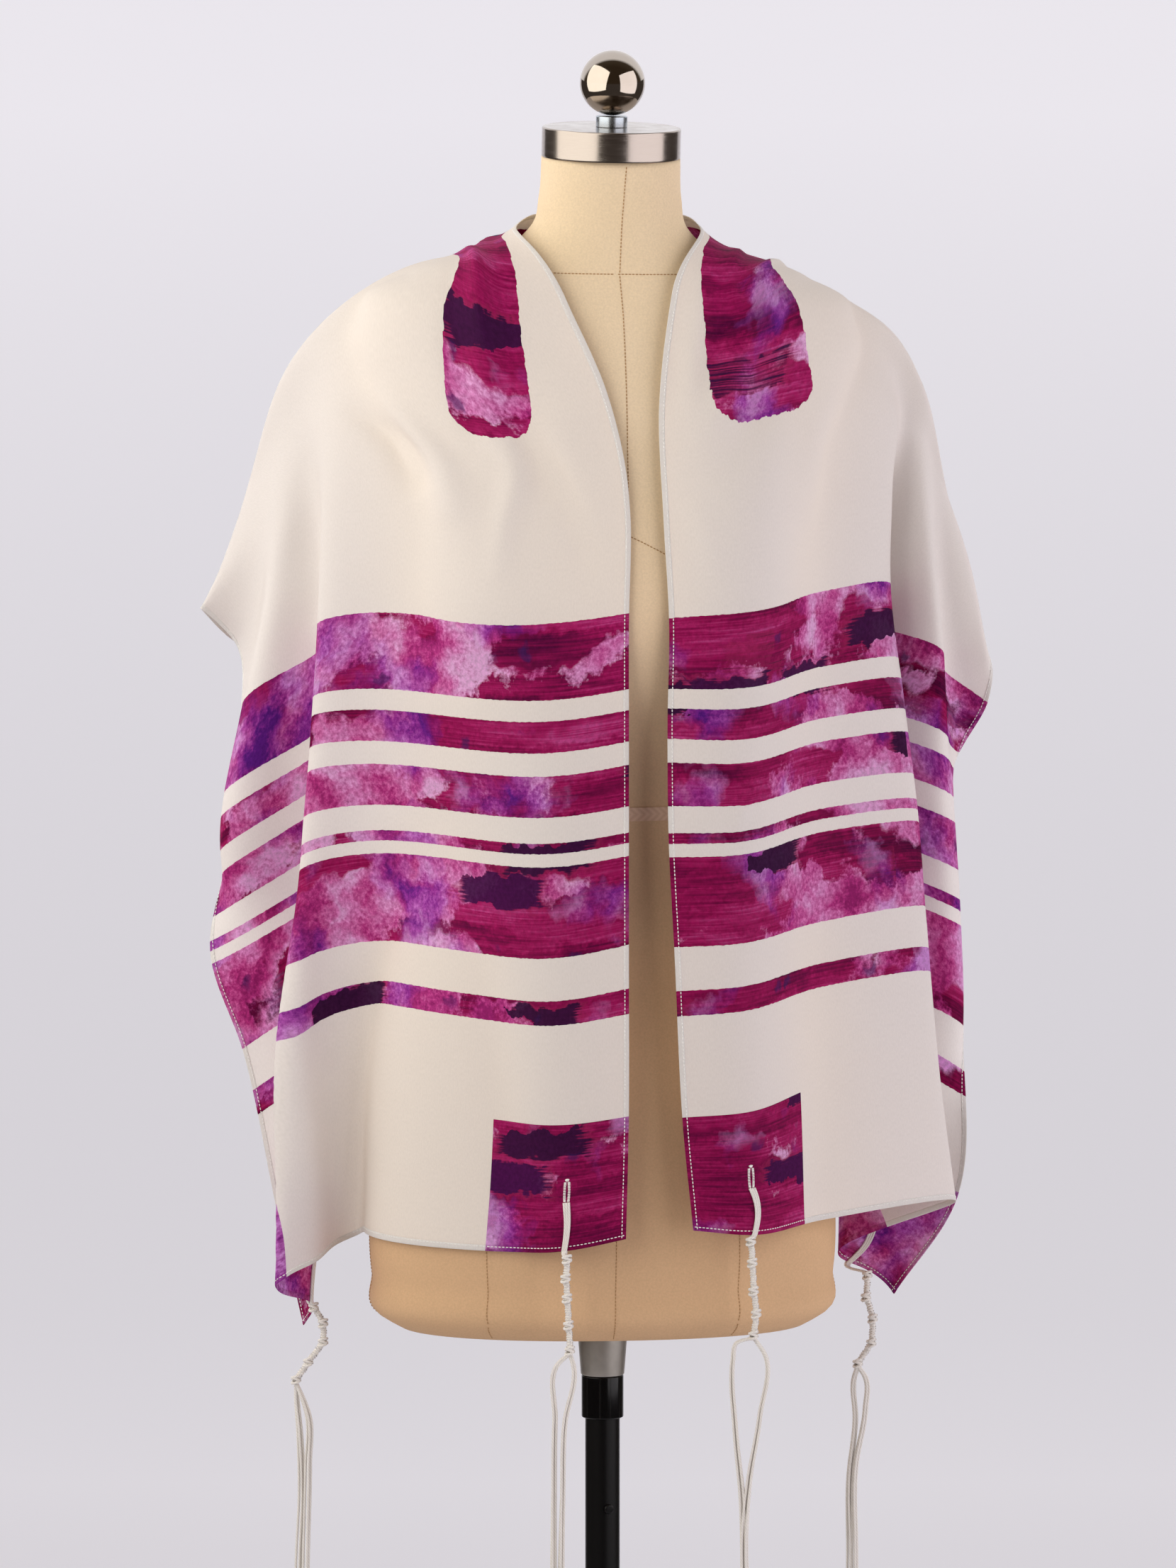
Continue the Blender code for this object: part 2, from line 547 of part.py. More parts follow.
def make_tassel(name, half, place, knots, surface):
    """One tassel: a knotted cord whose end opens into separate strands."""
    points, radii = tassel_cord(half, place, knots)
    rings = tube_rings(points, radii, STRANDS)
    mesh = grid_mesh(name, rings, wrap=True)
    bm = bmesh.new()
    bm.from_mesh(mesh)
    bm.verts.ensure_lookup_table()
    bm.faces.new([bm.verts[j] for j in range(STRANDS)])
    low = [bm.verts[(len(rings) - 1) * STRANDS + j] for j in range(STRANDS)]
    middle = bm.verts.new(points[-1] + np.array([0, 0, -1 * MM]))
    ends = [bm.faces.new((low[j], low[(j + 1) % STRANDS], middle)) for j in range(STRANDS)]
    bmesh.ops.recalc_face_normals(bm, faces=bm.faces)
    for face in ends:
        bmesh.ops.inset_individual(bm, faces=[face], thickness=0.2 * MM)
    axis = points[-1]
    for index, face in enumerate(ends):
        start = np.array(face.calc_center_median())
        away = (start - axis)[:2] / np.linalg.norm((start - axis)[:2])
        corners = [np.array(vert.co)[:2] - start[:2] for vert in face.verts]
        corners = [STRAND_RADIUS * corner / np.linalg.norm(corner) for corner in corners]
        length = STRAND_LENGTH * (0.93 + 0.07 * math.cos(index * 1.7))
        for down in np.linspace(0, 1, STRAND_SEGMENTS + 1)[1:]:
            spread = 2.5 * MM + STRAND_SPREAD * math.sin(math.pi * min(down * 1.15, 1))
            target = axis[:2] + away * spread
            face = bmesh.ops.extrude_discrete_faces(bm, faces=[face])["faces"][0]
            for corner, vert in zip(corners, face.verts):
                vert.co = (*(target + corner), start[2] - length * down)
    bmesh.ops.recalc_face_normals(bm, faces=bm.faces)
    bm.to_mesh(mesh)
    bm.free()
    return add_object(name, mesh, surface)


for old in list(bpy.data.objects):
    bpy.data.objects.remove(old, do_unlink=True)
PART = bpy.data.collections.new("prayer_shawl_on_dress_form")
bpy.context.scene.collection.children.link(PART)

SILK = material("ivory_silk", (0.86, 0.83, 0.78), 0.55)
LINEN = material("beige_cover", (0.66, 0.50, 0.34), 0.85)
TAPE = material("cotton_tape", (0.62, 0.48, 0.34), 0.85)
STEEL = material("brushed_steel", (0.62, 0.61, 0.60), 0.35, 1.0)
CHROME = material("polished_steel", (0.75, 0.75, 0.75), 0.08, 1.0)
SATIN = material("grey_satin", (0.42, 0.41, 0.40), 0.45, 0.4)
ENAMEL = material("black_enamel", (0.02, 0.02, 0.022), 0.3)
PLASTIC = material("black_plastic", (0.012, 0.012, 0.013), 0.15)
COTTON = material("cotton_cord", (0.85, 0.83, 0.80), 0.8)

make_shawl(SILK)
make_torso(LINEN)
make_tape(TAPE)
make_neck(STEEL, CHROME)
make_pole(ENAMEL, PLASTIC, SATIN)
make_snap_button(CHROME)
for tassel in TASSELS:
    make_tassel(*tassel, COTTON)
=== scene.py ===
"""Prayer shawl on a dress form: the finish of every surface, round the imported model.

Metres, +Z up, the front faces -Y. Left and right are the viewer's, from the front.
"""
import math

import bpy
import numpy as np
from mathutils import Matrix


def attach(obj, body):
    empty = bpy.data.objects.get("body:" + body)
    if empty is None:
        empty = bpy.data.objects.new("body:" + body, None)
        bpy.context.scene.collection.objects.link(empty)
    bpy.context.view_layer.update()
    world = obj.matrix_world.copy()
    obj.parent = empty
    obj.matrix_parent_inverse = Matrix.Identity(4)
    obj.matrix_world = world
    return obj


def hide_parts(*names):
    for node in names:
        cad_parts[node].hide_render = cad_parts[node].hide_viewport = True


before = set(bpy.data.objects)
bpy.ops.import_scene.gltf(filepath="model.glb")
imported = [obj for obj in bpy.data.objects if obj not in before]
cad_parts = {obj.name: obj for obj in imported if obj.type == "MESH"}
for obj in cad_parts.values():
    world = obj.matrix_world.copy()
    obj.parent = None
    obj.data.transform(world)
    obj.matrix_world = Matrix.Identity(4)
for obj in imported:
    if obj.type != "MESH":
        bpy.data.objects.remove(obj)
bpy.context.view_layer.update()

# ---------------------------------------------------------------------------------------
# Camera: a long lens, twelve metres in front of the form, looking a little down at it.
# ---------------------------------------------------------------------------------------
CAMERA_AIM = (-0.0107, 0.0, 1.0464)
CAMERA_AWAY = 12.0
CAMERA_DOWN = math.radians(7.5)
CAMERA_LENS = 375.57              # mm, on a sensor of 36 mm along the picture's long side

lens = bpy.data.cameras.new("camera")
lens.lens = CAMERA_LENS
lens.sensor_width = 36
lens.clip_end = 200
camera = bpy.data.objects.new("camera", lens)
camera.location = (CAMERA_AIM[0], -CAMERA_AWAY * math.cos(CAMERA_DOWN),
                   CAMERA_AIM[2] + CAMERA_AWAY * math.sin(CAMERA_DOWN))
camera.rotation_euler = (math.pi / 2 - CAMERA_DOWN, 0, 0)
bpy.context.scene.collection.objects.link(camera)
bpy.context.scene.camera = camera
bpy.context.scene.view_settings.view_transform = "Standard"


# ---------------------------------------------------------------------------------------
# Studio: a wide pale floor under soft boxes, with the room a little darker in front.
# ---------------------------------------------------------------------------------------
def linear(hex_colour):
    """An sRGB hex colour as linear red, green, blue and 1."""
    parts = [int(hex_colour[i:i + 2], 16) / 255 for i in (1, 3, 5)]
    return tuple(c / 12.92 if c <= 0.04045 else ((c + 0.055) / 1.055) ** 2.4
                 for c in parts) + (1,)


def material(name):
    """A new node material, and its Principled shader."""
    made = bpy.data.materials.new(name)
    made.use_nodes = True
    return made, made.node_tree.nodes["Principled BSDF"]


def node(shader, kind, inputs=None, stops=None, **settings):
    """Add a node beside a shader, with its settings, ramp stops, values and links."""
    tree = shader.id_data
    made = tree.nodes.new("ShaderNode" + kind)
    for key, value in settings.items():
        setattr(made, key, value)
    if stops:
        ramp = made.color_ramp
        while len(ramp.elements) < len(stops):
            ramp.elements.new(1.0)
        for element, (place, colour) in zip(ramp.elements, stops):
            element.position = place
            element.color = linear(colour)
    link(made, inputs or {})
    return made


def link(made, inputs):
    """Give a node's inputs their values, or link them from other nodes' first live outputs."""
    for key, value in inputs.items():
        live = made.inputs if isinstance(key, int) else [s for s in made.inputs
                                                         if s.enabled and s.name == key]
        socket = live[key if isinstance(key, int) else 0]
        if isinstance(value, bpy.types.Node):
            value = next(out for out in value.outputs if out.enabled)
        if isinstance(value, bpy.types.NodeSocket):
            made.id_data.links.new(value, socket)
        else:
            socket.default_value = value


def maths(shader, operation, *values):
    """A Math node: an operation on one, two or three values."""
    return node(shader, "Math", dict(enumerate(values)), operation=operation)


def ranged(shader, value, given, wanted=(0.0, 1.0), clamp=True):
    """A value taken from the range it is given in to the wanted one."""
    return node(shader, "MapRange", dict(enumerate((value, *given, *wanted))), clamp=clamp)


def blended(shader, share, under, over, blend="MIX"):
    """A share of one colour, blended over another."""
    return node(shader, "Mix", {0: share, "A": under, "B": over}, data_type="RGBA",
                blend_type=blend)


def grid_part(points, uv=None, closed=False, looped=False, caps=False):
    """Quads through a grid of points, as (points, quads, corner UVs, end polygons). closed
    joins the last column to the first and looped the last row to the first, and uv has one
    more of each that is joined. caps closes the first and the last row."""
    rows, columns = points.shape[:2]
    number = np.arange(rows * columns).reshape(rows, columns)
    ends = [number[0][::-1], number[-1]] if caps else []
    if closed:
        number = np.hstack([number, number[:, :1]])
    if looped:
        number = np.vstack([number, number[:1]])
    if uv is None:
        uv = np.stack(np.meshgrid(np.linspace(0, 1, number.shape[1]),
                                  np.linspace(0, 1, number.shape[0])), -1)
    quads = np.stack([number[:-1, :-1], number[:-1, 1:], number[1:, 1:], number[1:, :-1]], -1)
    corners = np.stack([uv[:-1, :-1], uv[:-1, 1:], uv[1:, 1:], uv[1:, :-1]], 2)
    quads, corners = quads.reshape(-1, 4), corners.reshape(-1, 4, 2)
    points = points.reshape(-1, 3)
    if closed and volume(points, quads, ends) < 0:
        quads, corners, ends = quads[:, ::-1], corners[:, ::-1], [end[::-1] for end in ends]
    return points, quads, corners, ends


def volume(points, quads, ends):
    """Six times the volume inside the faces, from each triangle and the middle point."""
    faces = [quads[:, [0, 1, 2]], quads[:, [0, 2, 3]]]
    faces += [np.stack([0 * end[2:] + end[0], end[1:-1], end[2:]], -1) for end in ends]
    a, b, c = (points - points.mean(axis=0))[np.concatenate(faces)].transpose(1, 0, 2)
    return np.einsum("ij,ij->", a, np.cross(b, c))


def add_mesh(name, parts, surface, smooth=True):
    """One object, at the origin, from parts made by grid_part."""
    start = np.cumsum([0] + [len(part[0]) for part in parts])
    faces = [(part[1] + first).tolist() for part, first in zip(parts, start)]
    ends = [(end + first).tolist() for part, first in zip(parts, start) for end in part[3]]
    uv = np.concatenate([part[2].reshape(-1, 2) for part in parts])
    uv = np.concatenate([uv, np.zeros((sum(map(len, ends)), 2))])
    mesh = bpy.data.meshes.new(name)
    mesh.from_pydata(np.concatenate([part[0] for part in parts]).tolist(), [],
                     sum(faces, []) + ends)
    mesh.uv_layers.new(name="UVMap").data.foreach_set("uv", uv.ravel())
    mesh.polygons.foreach_set("use_smooth", np.full(len(mesh.polygons), smooth))
    mesh.materials.append(surface)
    made = bpy.data.objects.new(name, mesh)
    bpy.context.scene.collection.objects.link(made)
    return made


FLOOR_RADIUS = 60.0
# name, place, aim, size across and up (m), radiance (W/m2 sr), colour
LAMPS = (
    ("left_soft_box", (-1.20, -0.66, 1.90), (0, 0, 1.50), 2.5, 2.3, 2.05, "#FFFBF4"),
    ("right_soft_box", (1.95, -1.03, 1.62), (0, 0, 1.45), 3.0, 2.8, 1.70, "#FBF6FA"),
)

# Seamless paper whose emission is painted light from behind the set, so that it is brightest
# far behind the form.
paper, shader = material("studio_paper_matte")
around = node(shader, "TexCoord").outputs["Object"]
away = node(shader, "VectorMath", {0: around}, operation="LENGTH").outputs["Value"]
behind = node(shader, "SeparateXYZ", {0: around}).outputs["Y"]
# Painted light: the paper glows from 0.4 m behind the form onwards, and more the farther away
# it lies.
painted_light_behind = ranged(shader, behind, (0.4, 3.0), (0, 0.31))
farther = ranged(shader, away, (4.0, 17.0), (0, 0.20))
painted_floor_light = maths(shader, "ADD", painted_light_behind, farther)
link(shader, {"Base Color": linear("#DCDADF"), "Roughness": 0.9,
              "Emission Color": linear("#F7F4FA"), "Emission Strength": painted_floor_light})
around = np.linspace(0, 2 * math.pi, 64, endpoint=False)
rim = np.stack([FLOOR_RADIUS * np.cos(around), FLOOR_RADIUS * np.sin(around), 0 * around], -1)
floor = add_mesh("studio_floor", [(rim, np.zeros((0, 4), int), np.zeros((0, 4, 2)),
                                   [np.arange(64)])], paper, smooth=False)

# A painted reflection of the dark end of the room, that only the polished metal mirrors: a
# black floor and wall round the front of the set, from low down at its near edge to above the
# form's top. Nothing else sees it, and its faint glow is painted too.
DARK_PROFILE = ((1.0, 0.02), (5.0, 0.02), (5.0, 1.6))     # distance and height (m)
DARK_TURN = math.radians(145)                             # each way from straight ahead
painted_dark_reflection, shader = material("painted_reflection_screen")
# Painted reflection: near-black, with a faint painted glow standing for the dim room in front.
link(shader, {"Base Color": linear("#1B1816"), "Roughness": 1.0, "Specular IOR Level": 0.0,
              "Emission Color": linear("#F6E2D6"), "Emission Strength": 0.065})
away, height = np.array(DARK_PROFILE).T[:, None, :]
turn = np.linspace(-DARK_TURN, DARK_TURN, 41)[:, None]
reflection_screen = add_mesh("studio_reflection_screen", [grid_part(np.stack(
    [away * np.sin(turn), -away * np.cos(turn), height + 0 * turn], -1))], painted_dark_reflection)
reflection_screen.visible_camera = False
reflection_screen.visible_diffuse = False
reflection_screen.visible_transmission = False
reflection_screen.visible_shadow = False

for name, place, aim, across, up, radiance, tint in LAMPS:
    lamp = bpy.data.lights.new(name, "AREA")
    lamp.shape = "RECTANGLE"
    lamp.size, lamp.size_y = across, up
    lamp.energy = radiance * math.pi * across * up
    lamp.color = linear(tint)[:3]
    holder = bpy.data.objects.new(name, lamp)
    holder.location = place
    facing = np.array(place) - np.array(aim)
    level = math.hypot(facing[0], facing[1])
    holder.rotation_euler = (math.atan2(level, facing[2]), 0,
                             math.atan2(facing[0], -facing[1]))
    holder.visible_camera = False
    bpy.context.scene.collection.objects.link(holder)

# The room: a pale backdrop that curves up over the set, and a dark room in front of it.
ROOM_STRENGTH = 1.40
world = bpy.data.worlds.new("studio_room")
world.use_nodes = True
sky = world.node_tree.nodes["Background"]
toward = node(sky, "TexCoord").outputs["Generated"]
behind = node(sky, "VectorMath", {0: toward, 1: (0.0, 1.0, 0.5)}, operation="DOT_PRODUCT")
room = node(sky, "ValToRGB", {0: behind.outputs["Value"]},
            stops=((0.0, "#33291F"), (0.48, "#42392F"), (0.66, "#E2E1E5")))
link(sky, {"Color": room, "Strength": ROOM_STRENGTH})
bpy.context.scene.world = world

# ---------------------------------------------------------------------------------------
# Torso: a padded body under a tight beige jersey cover, pieced from panels whose seams show
# as lines of small stitches. It has no arms or legs, and stands a little turned and tilted.
# ---------------------------------------------------------------------------------------
MM = 0.001
FORM_TURN = math.radians(5)
FORM_TILT = math.radians(1.2)
FORM_TOP = 1.508
NECK_LEAN = 6 * MM
LEAN_FROM = 1.2                   # the neck leans above this height (m)
TILT_FROM, TILT_RUN = 1.25, 0.15  # the tilt sets in over this stretch (m)
SECTION_POWER = 2.25              # 2 is an ellipse, more is squarer
# height, half width, depth to the front, depth to the back (mm)
TORSO_SECTIONS = (
    (647, 150, 88, 98), (655, 164, 98, 110), (686, 170, 101, 117), (760, 171, 101, 120),
    (870, 168, 99, 118), (950, 157, 96, 108), (1036, 137, 92, 95), (1100, 143, 100, 97),
    (1140, 148, 114, 101), (1185, 153, 124, 105), (1240, 158, 119, 107), (1300, 166, 105, 106),
    (1350, 176, 90, 96), (1382, 177, 77, 79), (1402, 163, 70, 67), (1420, 124, 63, 60),
    (1438, 79, 57, 56), (1456, 57.5, 53, 53), (1478, 52, 51, 51.5), (1508, 50.5, 50, 50.5),
)


def running_length(path):
    """Distance along a path to each of its points."""
    return np.concatenate([[0], np.cumsum(np.linalg.norm(np.diff(path, axis=0), axis=1))])


def smooth_curve(knots, values, at):
    """Cubic through the values at the knots, with slopes from their neighbours."""
    knots = np.asarray(knots, float)
    values = np.asarray(values, float)
    at = np.clip(np.asarray(at, float), knots[0], knots[-1])
    slopes = np.gradient(values, knots, axis=0)
    cell = np.clip(np.searchsorted(knots, at, side="right") - 1, 0, len(knots) - 2)
    shape = at.shape + (1,) * (values.ndim - 1)
    span = (knots[cell + 1] - knots[cell]).reshape(shape)
    u = ((at - knots[cell]) / (knots[cell + 1] - knots[cell])).reshape(shape)
    return ((2 * u**3 - 3 * u**2 + 1) * values[cell]
            + (u**3 - 2 * u**2 + u) * span * slopes[cell]
            + (3 * u**2 - 2 * u**3) * values[cell + 1]
            + (u**3 - u**2) * span * slopes[cell + 1])


def torso_sizes(height):
    """Half width, front depth and back depth of the torso at each height."""
    table = np.array(TORSO_SECTIONS) * MM
    return np.moveaxis(smooth_curve(table[:, 0], table[:, 1:], height), -1, 0)


def torso_drop(x, height):
    """How far the tilt of the neck and shoulders lowers a point."""
    return x * math.tan(FORM_TILT) * np.clip((height - TILT_FROM) / TILT_RUN, 0, 1)


def neck_lean(height):
    """How far the neck's lean moves a point to the right."""
    return NECK_LEAN * np.clip((height - LEAN_FROM) / (FORM_TOP - LEAN_FROM), 0, 1)


def torso_points(height, angle, out=0.0):
    """Superellipse sections: x = (width + out) cos^p, y = (depth + out) sin^p, then turned."""
    width, front, back = torso_sizes(height)
    depth = np.where(np.sin(angle) < 0, front, back)
    power = 2 / SECTION_POWER
    x = (width + out) * np.sign(np.cos(angle)) * np.abs(np.cos(angle)) ** power
    y = (depth + out) * np.sign(np.sin(angle)) * np.abs(np.sin(angle)) ** power
    c, s = math.cos(FORM_TURN), math.sin(FORM_TURN)
    return np.stack([c * x - s * y + neck_lean(height), s * x + c * y,
                     height - torso_drop(x, height)], -1)


def torso_field(points):
    """Zero on the torso's surface, positive outside it."""
    c, s = math.cos(FORM_TURN), math.sin(FORM_TURN)
    across = points[..., 0] - neck_lean(points[..., 2])
    x = c * across + s * points[..., 1]
    y = -s * across + c * points[..., 1]
    width, front, back = torso_sizes(points[..., 2] + torso_drop(x, points[..., 2]))
    depth = np.where(y < 0, front, back)
    ratio = np.abs(x / width) ** SECTION_POWER + np.abs(y / depth) ** SECTION_POWER
    return ratio ** (1 / SECTION_POWER) - 1


def torso_distance(points):
    """Distance from the torso's surface, and the direction straight away from it."""
    step = 0.5 * MM
    field = torso_field(points)
    slope = np.stack([(torso_field(points + step * axis) - field) / step
                      for axis in np.eye(3)], -1)
    size = np.linalg.norm(slope, axis=-1) + 1e-9
    return field / size, slope / size[..., None]


def tube_part(path, radius, sides):
    """A closed tube along a path: rings on two directions square to it. UV runs once round,
    and in metres along, so that a twist can be drawn on it."""
    ahead = np.gradient(path, axis=0)
    ahead /= np.linalg.norm(ahead, axis=1, keepdims=True) + 1e-12
    guide = np.where(np.abs(ahead[:, 1:2]) > 0.9, [[1.0, 0, 0]], [[0, 1.0, 0]])
    across = np.cross(ahead, guide)
    across /= np.linalg.norm(across, axis=1, keepdims=True)
    third = np.cross(ahead, across)
    angle = np.linspace(0, 2 * math.pi, sides, endpoint=False)[:, None]
    ring = np.cos(angle) * across[:, None] + np.sin(angle) * third[:, None]
    points = path[:, None] + np.broadcast_to(radius, (len(path),))[:, None, None] * ring
    u, v = np.meshgrid(np.linspace(0, 1, sides + 1), running_length(path))
    return grid_part(points, np.stack([u, v], -1), closed=True, caps=True)


def drawn_noise(shader, place, scale, detail, stretch=(1, 1, 1), shift=(0, 0, 0)):
    """A noise of so many cells a metre, over places that are stretched and then shifted."""
    moved = node(shader, "VectorMath", {0: place, 1: stretch, 2: shift},
                 operation="MULTIPLY_ADD")
    return node(shader, "TexNoise", {"Vector": moved, "Scale": scale, "Detail": detail})


jersey, shader = material("cotton_jersey_cover")
# Knitted cotton pulled tight: dull, warm beige, with painted shade that darkens it towards
# the hips, and a fine pebble that catches side light.
place = node(shader, "TexCoord").outputs["Object"]
knit = drawn_noise(shader, place, 700, 3)
blotch = drawn_noise(shader, place, 9, 3)
tone = blended(shader, blotch, linear("#E4CDA8"), linear("#F0DBBC"))
# Painted shade: darker and warmer from 1.28 m down to 0.90 m, for the shade below the shawl.
height = node(shader, "SeparateXYZ", {0: place}).outputs["Z"]
painted_hip_shade = ranged(shader, height, (1.28, 0.90))
tone = blended(shader, painted_hip_shade, tone, linear("#D4AF88"))
fleck = ranged(shader, knit, (0.3, 0.7), (0.93, 1.04))
grained = blended(shader, 1.0, tone, fleck, "MULTIPLY")
bump = node(shader, "Bump", {"Height": knit, "Strength": 0.25, "Distance": 0.4 * MM})
link(shader, {"Base Color": grained, "Normal": bump, "Roughness": 0.9,
              "Specular IOR Level": 0.15})

TORSO_ROWS, TORSO_COLUMNS = 190, 160
heights = np.linspace(TORSO_SECTIONS[0][0] * MM, FORM_TOP, TORSO_ROWS)
angles = np.linspace(0, 2 * math.pi, TORSO_COLUMNS, endpoint=False)
body = torso_points(heights[:, None] + 0 * angles, angles + 0 * heights[:, None])
torso = add_mesh("torso_cover", [grid_part(body, closed=True, caps=True)], jersey)
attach(torso, "root")
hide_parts("form_torso")


def clouded(name, scale, detail, tones, roughness, stretch=(1, 1, 1), **fixed):
    """A material whose colour and roughness drift together between two values, by a noise of
    so many cells a metre. Returns it with its shader and the noise."""
    made, shader = material(name)
    place = node(shader, "TexCoord").outputs["Object"]
    cloud = drawn_noise(shader, place, scale, detail, stretch)
    tone = blended(shader, cloud, linear(tones[0]), linear(tones[1]))
    rough = ranged(shader, cloud, (0, 1), roughness)
    link(shader, {"Base Color": tone, "Roughness": rough, **fixed})
    return made, shader, cloud


# Spun sewing thread, a shade darker than the cover.
thread, _, _ = clouded("cotton_thread_tan", 500, 2, ("#A07A50", "#C09A6C"), (0.8, 0.8))
STITCH_PITCH, STITCH_LENGTH, THREAD_RADIUS = 2.6 * MM, 1.9 * MM, 0.42 * MM


def stitch_parts(path, pitch, length, radius, sides=5):
    """Short round stitches along a path, each sunk to half its thickness at its ends."""
    places = running_length(path)
    parts = []
    for start in np.arange(0.5 * pitch, places[-1] - length, pitch):
        at = start + length * np.array([0.0, 0.25, 0.75, 1.0])
        line = np.stack([np.interp(at, places, path[:, k]) for k in range(3)], -1)
        parts.append(tube_part(line, radius * np.array([0.45, 1, 1, 0.45]), sides))
    return parts


# angle round the torso (degrees) at a seam's lower height, and at its upper height (m)
TORSO_SEAMS = (
    (-90, 0.648, -88, 1.243), (-88, 1.243, -89.1, 1.428), (-89.1, 1.428, -83.7, 1.506),  # front
    (90, 0.648, 90, 1.506), (180, 0.648, 180, 1.37), (0, 0.648, 0, 1.37),      # back and sides
    (-122.5, 0.648, -120, 0.660), (-120, 0.660, -120, 1.40),                    # front panels
    (-57.5, 0.648, -60, 0.660), (-60, 0.660, -60, 1.40),
    (122.5, 0.648, 120, 0.660), (120, 0.660, 120, 1.40),                         # back panels
    (57.5, 0.648, 60, 0.660), (60, 0.660, 60, 1.40),
    (-90, 1.428, 270, 1.428), (-88, 1.243, -66, 1.208),              # neck and a dart
)
seams = []
for angle_low, low, angle_high, high in TORSO_SEAMS:
    share = np.linspace(0, 1, 260)
    angle = np.radians(angle_low + (angle_high - angle_low) * share)
    line = torso_points(low + (high - low) * share, angle, 0.15 * MM)
    seams += stitch_parts(line, STITCH_PITCH, STITCH_LENGTH, THREAD_RADIUS)
stitching = add_mesh("torso_seam_stitches", seams, thread)
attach(stitching, "root")

# ---------------------------------------------------------------------------------------
# Waist tape: 10 mm cotton twill tape round the waist, woven in a herringbone.
# ---------------------------------------------------------------------------------------
TAPE_LOW, TAPE_HIGH, TAPE_WALL = 1.031, 1.041, 0.8 * MM
TAPE_WALES, WALE_SLANT = 340.0, 4.0    # half wales round the waist, and over the tape's width
twill, shader = material("cotton_twill_tape")
# Herringbone: slanted wales that meet at the middle of the tape, drawn 4.4 mm apart, several
# times the real spacing, so that they show.
place = node(shader, "SeparateXYZ", {0: node(shader, "TexCoord").outputs["UV"]})
middle = maths(shader, "SUBTRACT", place.outputs["Y"], 0.5)
slant = maths(shader, "ABSOLUTE", middle)
slant = maths(shader, "MULTIPLY", slant, WALE_SLANT)
along = maths(shader, "MULTIPLY_ADD", place.outputs["X"], TAPE_WALES, slant)
wale = maths(shader, "PINGPONG", along, 1.0)
tone = blended(shader, wale, linear("#DBBA9F"), linear("#EACCB4"))
bump = node(shader, "Bump", {"Height": wale, "Strength": 0.4, "Distance": 0.3 * MM})
link(shader, {"Base Color": tone, "Normal": bump, "Roughness": 0.8})
EDGES = ((TAPE_LOW, 0.1 * MM), (TAPE_LOW, TAPE_WALL), (TAPE_HIGH, TAPE_WALL),
         (TAPE_HIGH, 0.1 * MM))
rings = np.array([torso_points(np.full(TORSO_COLUMNS, z), angles, out) for z, out in EDGES])
uv = np.stack(np.meshgrid(np.linspace(0, 1, TORSO_COLUMNS + 1), [0, 0, 1, 1, 0]), -1)
band = grid_part(rings, uv, closed=True, looped=True)
tape = add_mesh("waist_tape_woven", [band], twill, smooth=False)
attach(tape, "root")
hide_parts("waist_tape")

# ---------------------------------------------------------------------------------------
# Neck cap and finial: a turned steel cap closes the neck, and a polished ball on a short
# threaded stem stands on it. All three lean with the neck.
# ---------------------------------------------------------------------------------------
GAP = 0.3 * MM                    # between one solid and the next
CAP_RADIUS, CAP_HEIGHT = 50.8 * MM, 22 * MM
CAP_CENTRE = (6 * MM, -4 * MM)
STEM_RADIUS, STEM_HEIGHT = 11.5 * MM, 8 * MM
BALL_RADIUS = 23.8 * MM
TURNED_SIDES = 160


def turned_part(profile, sides=TURNED_SIDES, hollow=False):
    """A profile of (radius, height) turned round the z axis: x = r cos a, y = r sin a. A
    hollow piece's profile is a loop."""
    radius, height = np.array(profile).T
    angle = np.linspace(0, 2 * math.pi, sides, endpoint=False)
    points = np.stack([radius[:, None] * np.cos(angle), radius[:, None] * np.sin(angle),
                       height[:, None] + 0 * angle], -1)
    return grid_part(points, closed=True, looped=hollow, caps=not hollow)


def rounded_profile(corners, steps=6):
    """A profile whose corners, given as (radius, height, rounding), are arcs: each is a
    quadratic curve from one side of the corner to the other."""
    points = np.array([corner[:2] for corner in corners])
    made = [points[:1]]
    for (_, _, rounding), before, here, after in zip(corners[1:-1], points, points[1:],
                                                     points[2:]):
        back = (before - here) / np.linalg.norm(before - here)
        ahead = (after - here) / np.linalg.norm(after - here)
        start, end = here + back * rounding, here + ahead * rounding
        u = np.linspace(0, 1, steps)[:, None]
        made.append((1 - u) ** 2 * start + 2 * u * (1 - u) * here + u**2 * end)
    return np.concatenate(made + [points[-1:]])


def lean_with_neck(part):
    """A part made upright at the origin, moved to the top of the neck and leant with it."""
    points, quads, uv, ends = part
    ct, st = math.cos(FORM_TILT), math.sin(FORM_TILT)
    cr, sr = math.cos(FORM_TURN), math.sin(FORM_TURN)
    x = ct * points[:, 0] + st * points[:, 2]
    z = ct * points[:, 2] - st * points[:, 0]
    y = points[:, 1]
    moved = np.stack([cr * x - sr * y, sr * x + cr * y, z], -1) + (*CAP_CENTRE, FORM_TOP)
    return moved, quads, uv, ends


TINY = 0.05 * MM
cap_low, cap_high = GAP, GAP + CAP_HEIGHT
cap_shape = rounded_profile((
    (TINY, cap_low, 0), (CAP_RADIUS - 0.4 * MM, cap_low, 0.3 * MM),
    (CAP_RADIUS - 0.1 * MM, cap_low + 1.2 * MM, 0.3 * MM),
    (CAP_RADIUS - 0.1 * MM, cap_high - 1.0 * MM, 0.3 * MM),
    (CAP_RADIUS - 0.5 * MM, cap_high, 0.6 * MM), (CAP_RADIUS - 3 * MM, cap_high, 0.4 * MM),
    (STEM_RADIUS, cap_high + 0.2 * MM, 0.3 * MM), (TINY, cap_high + 0.2 * MM, 0)))
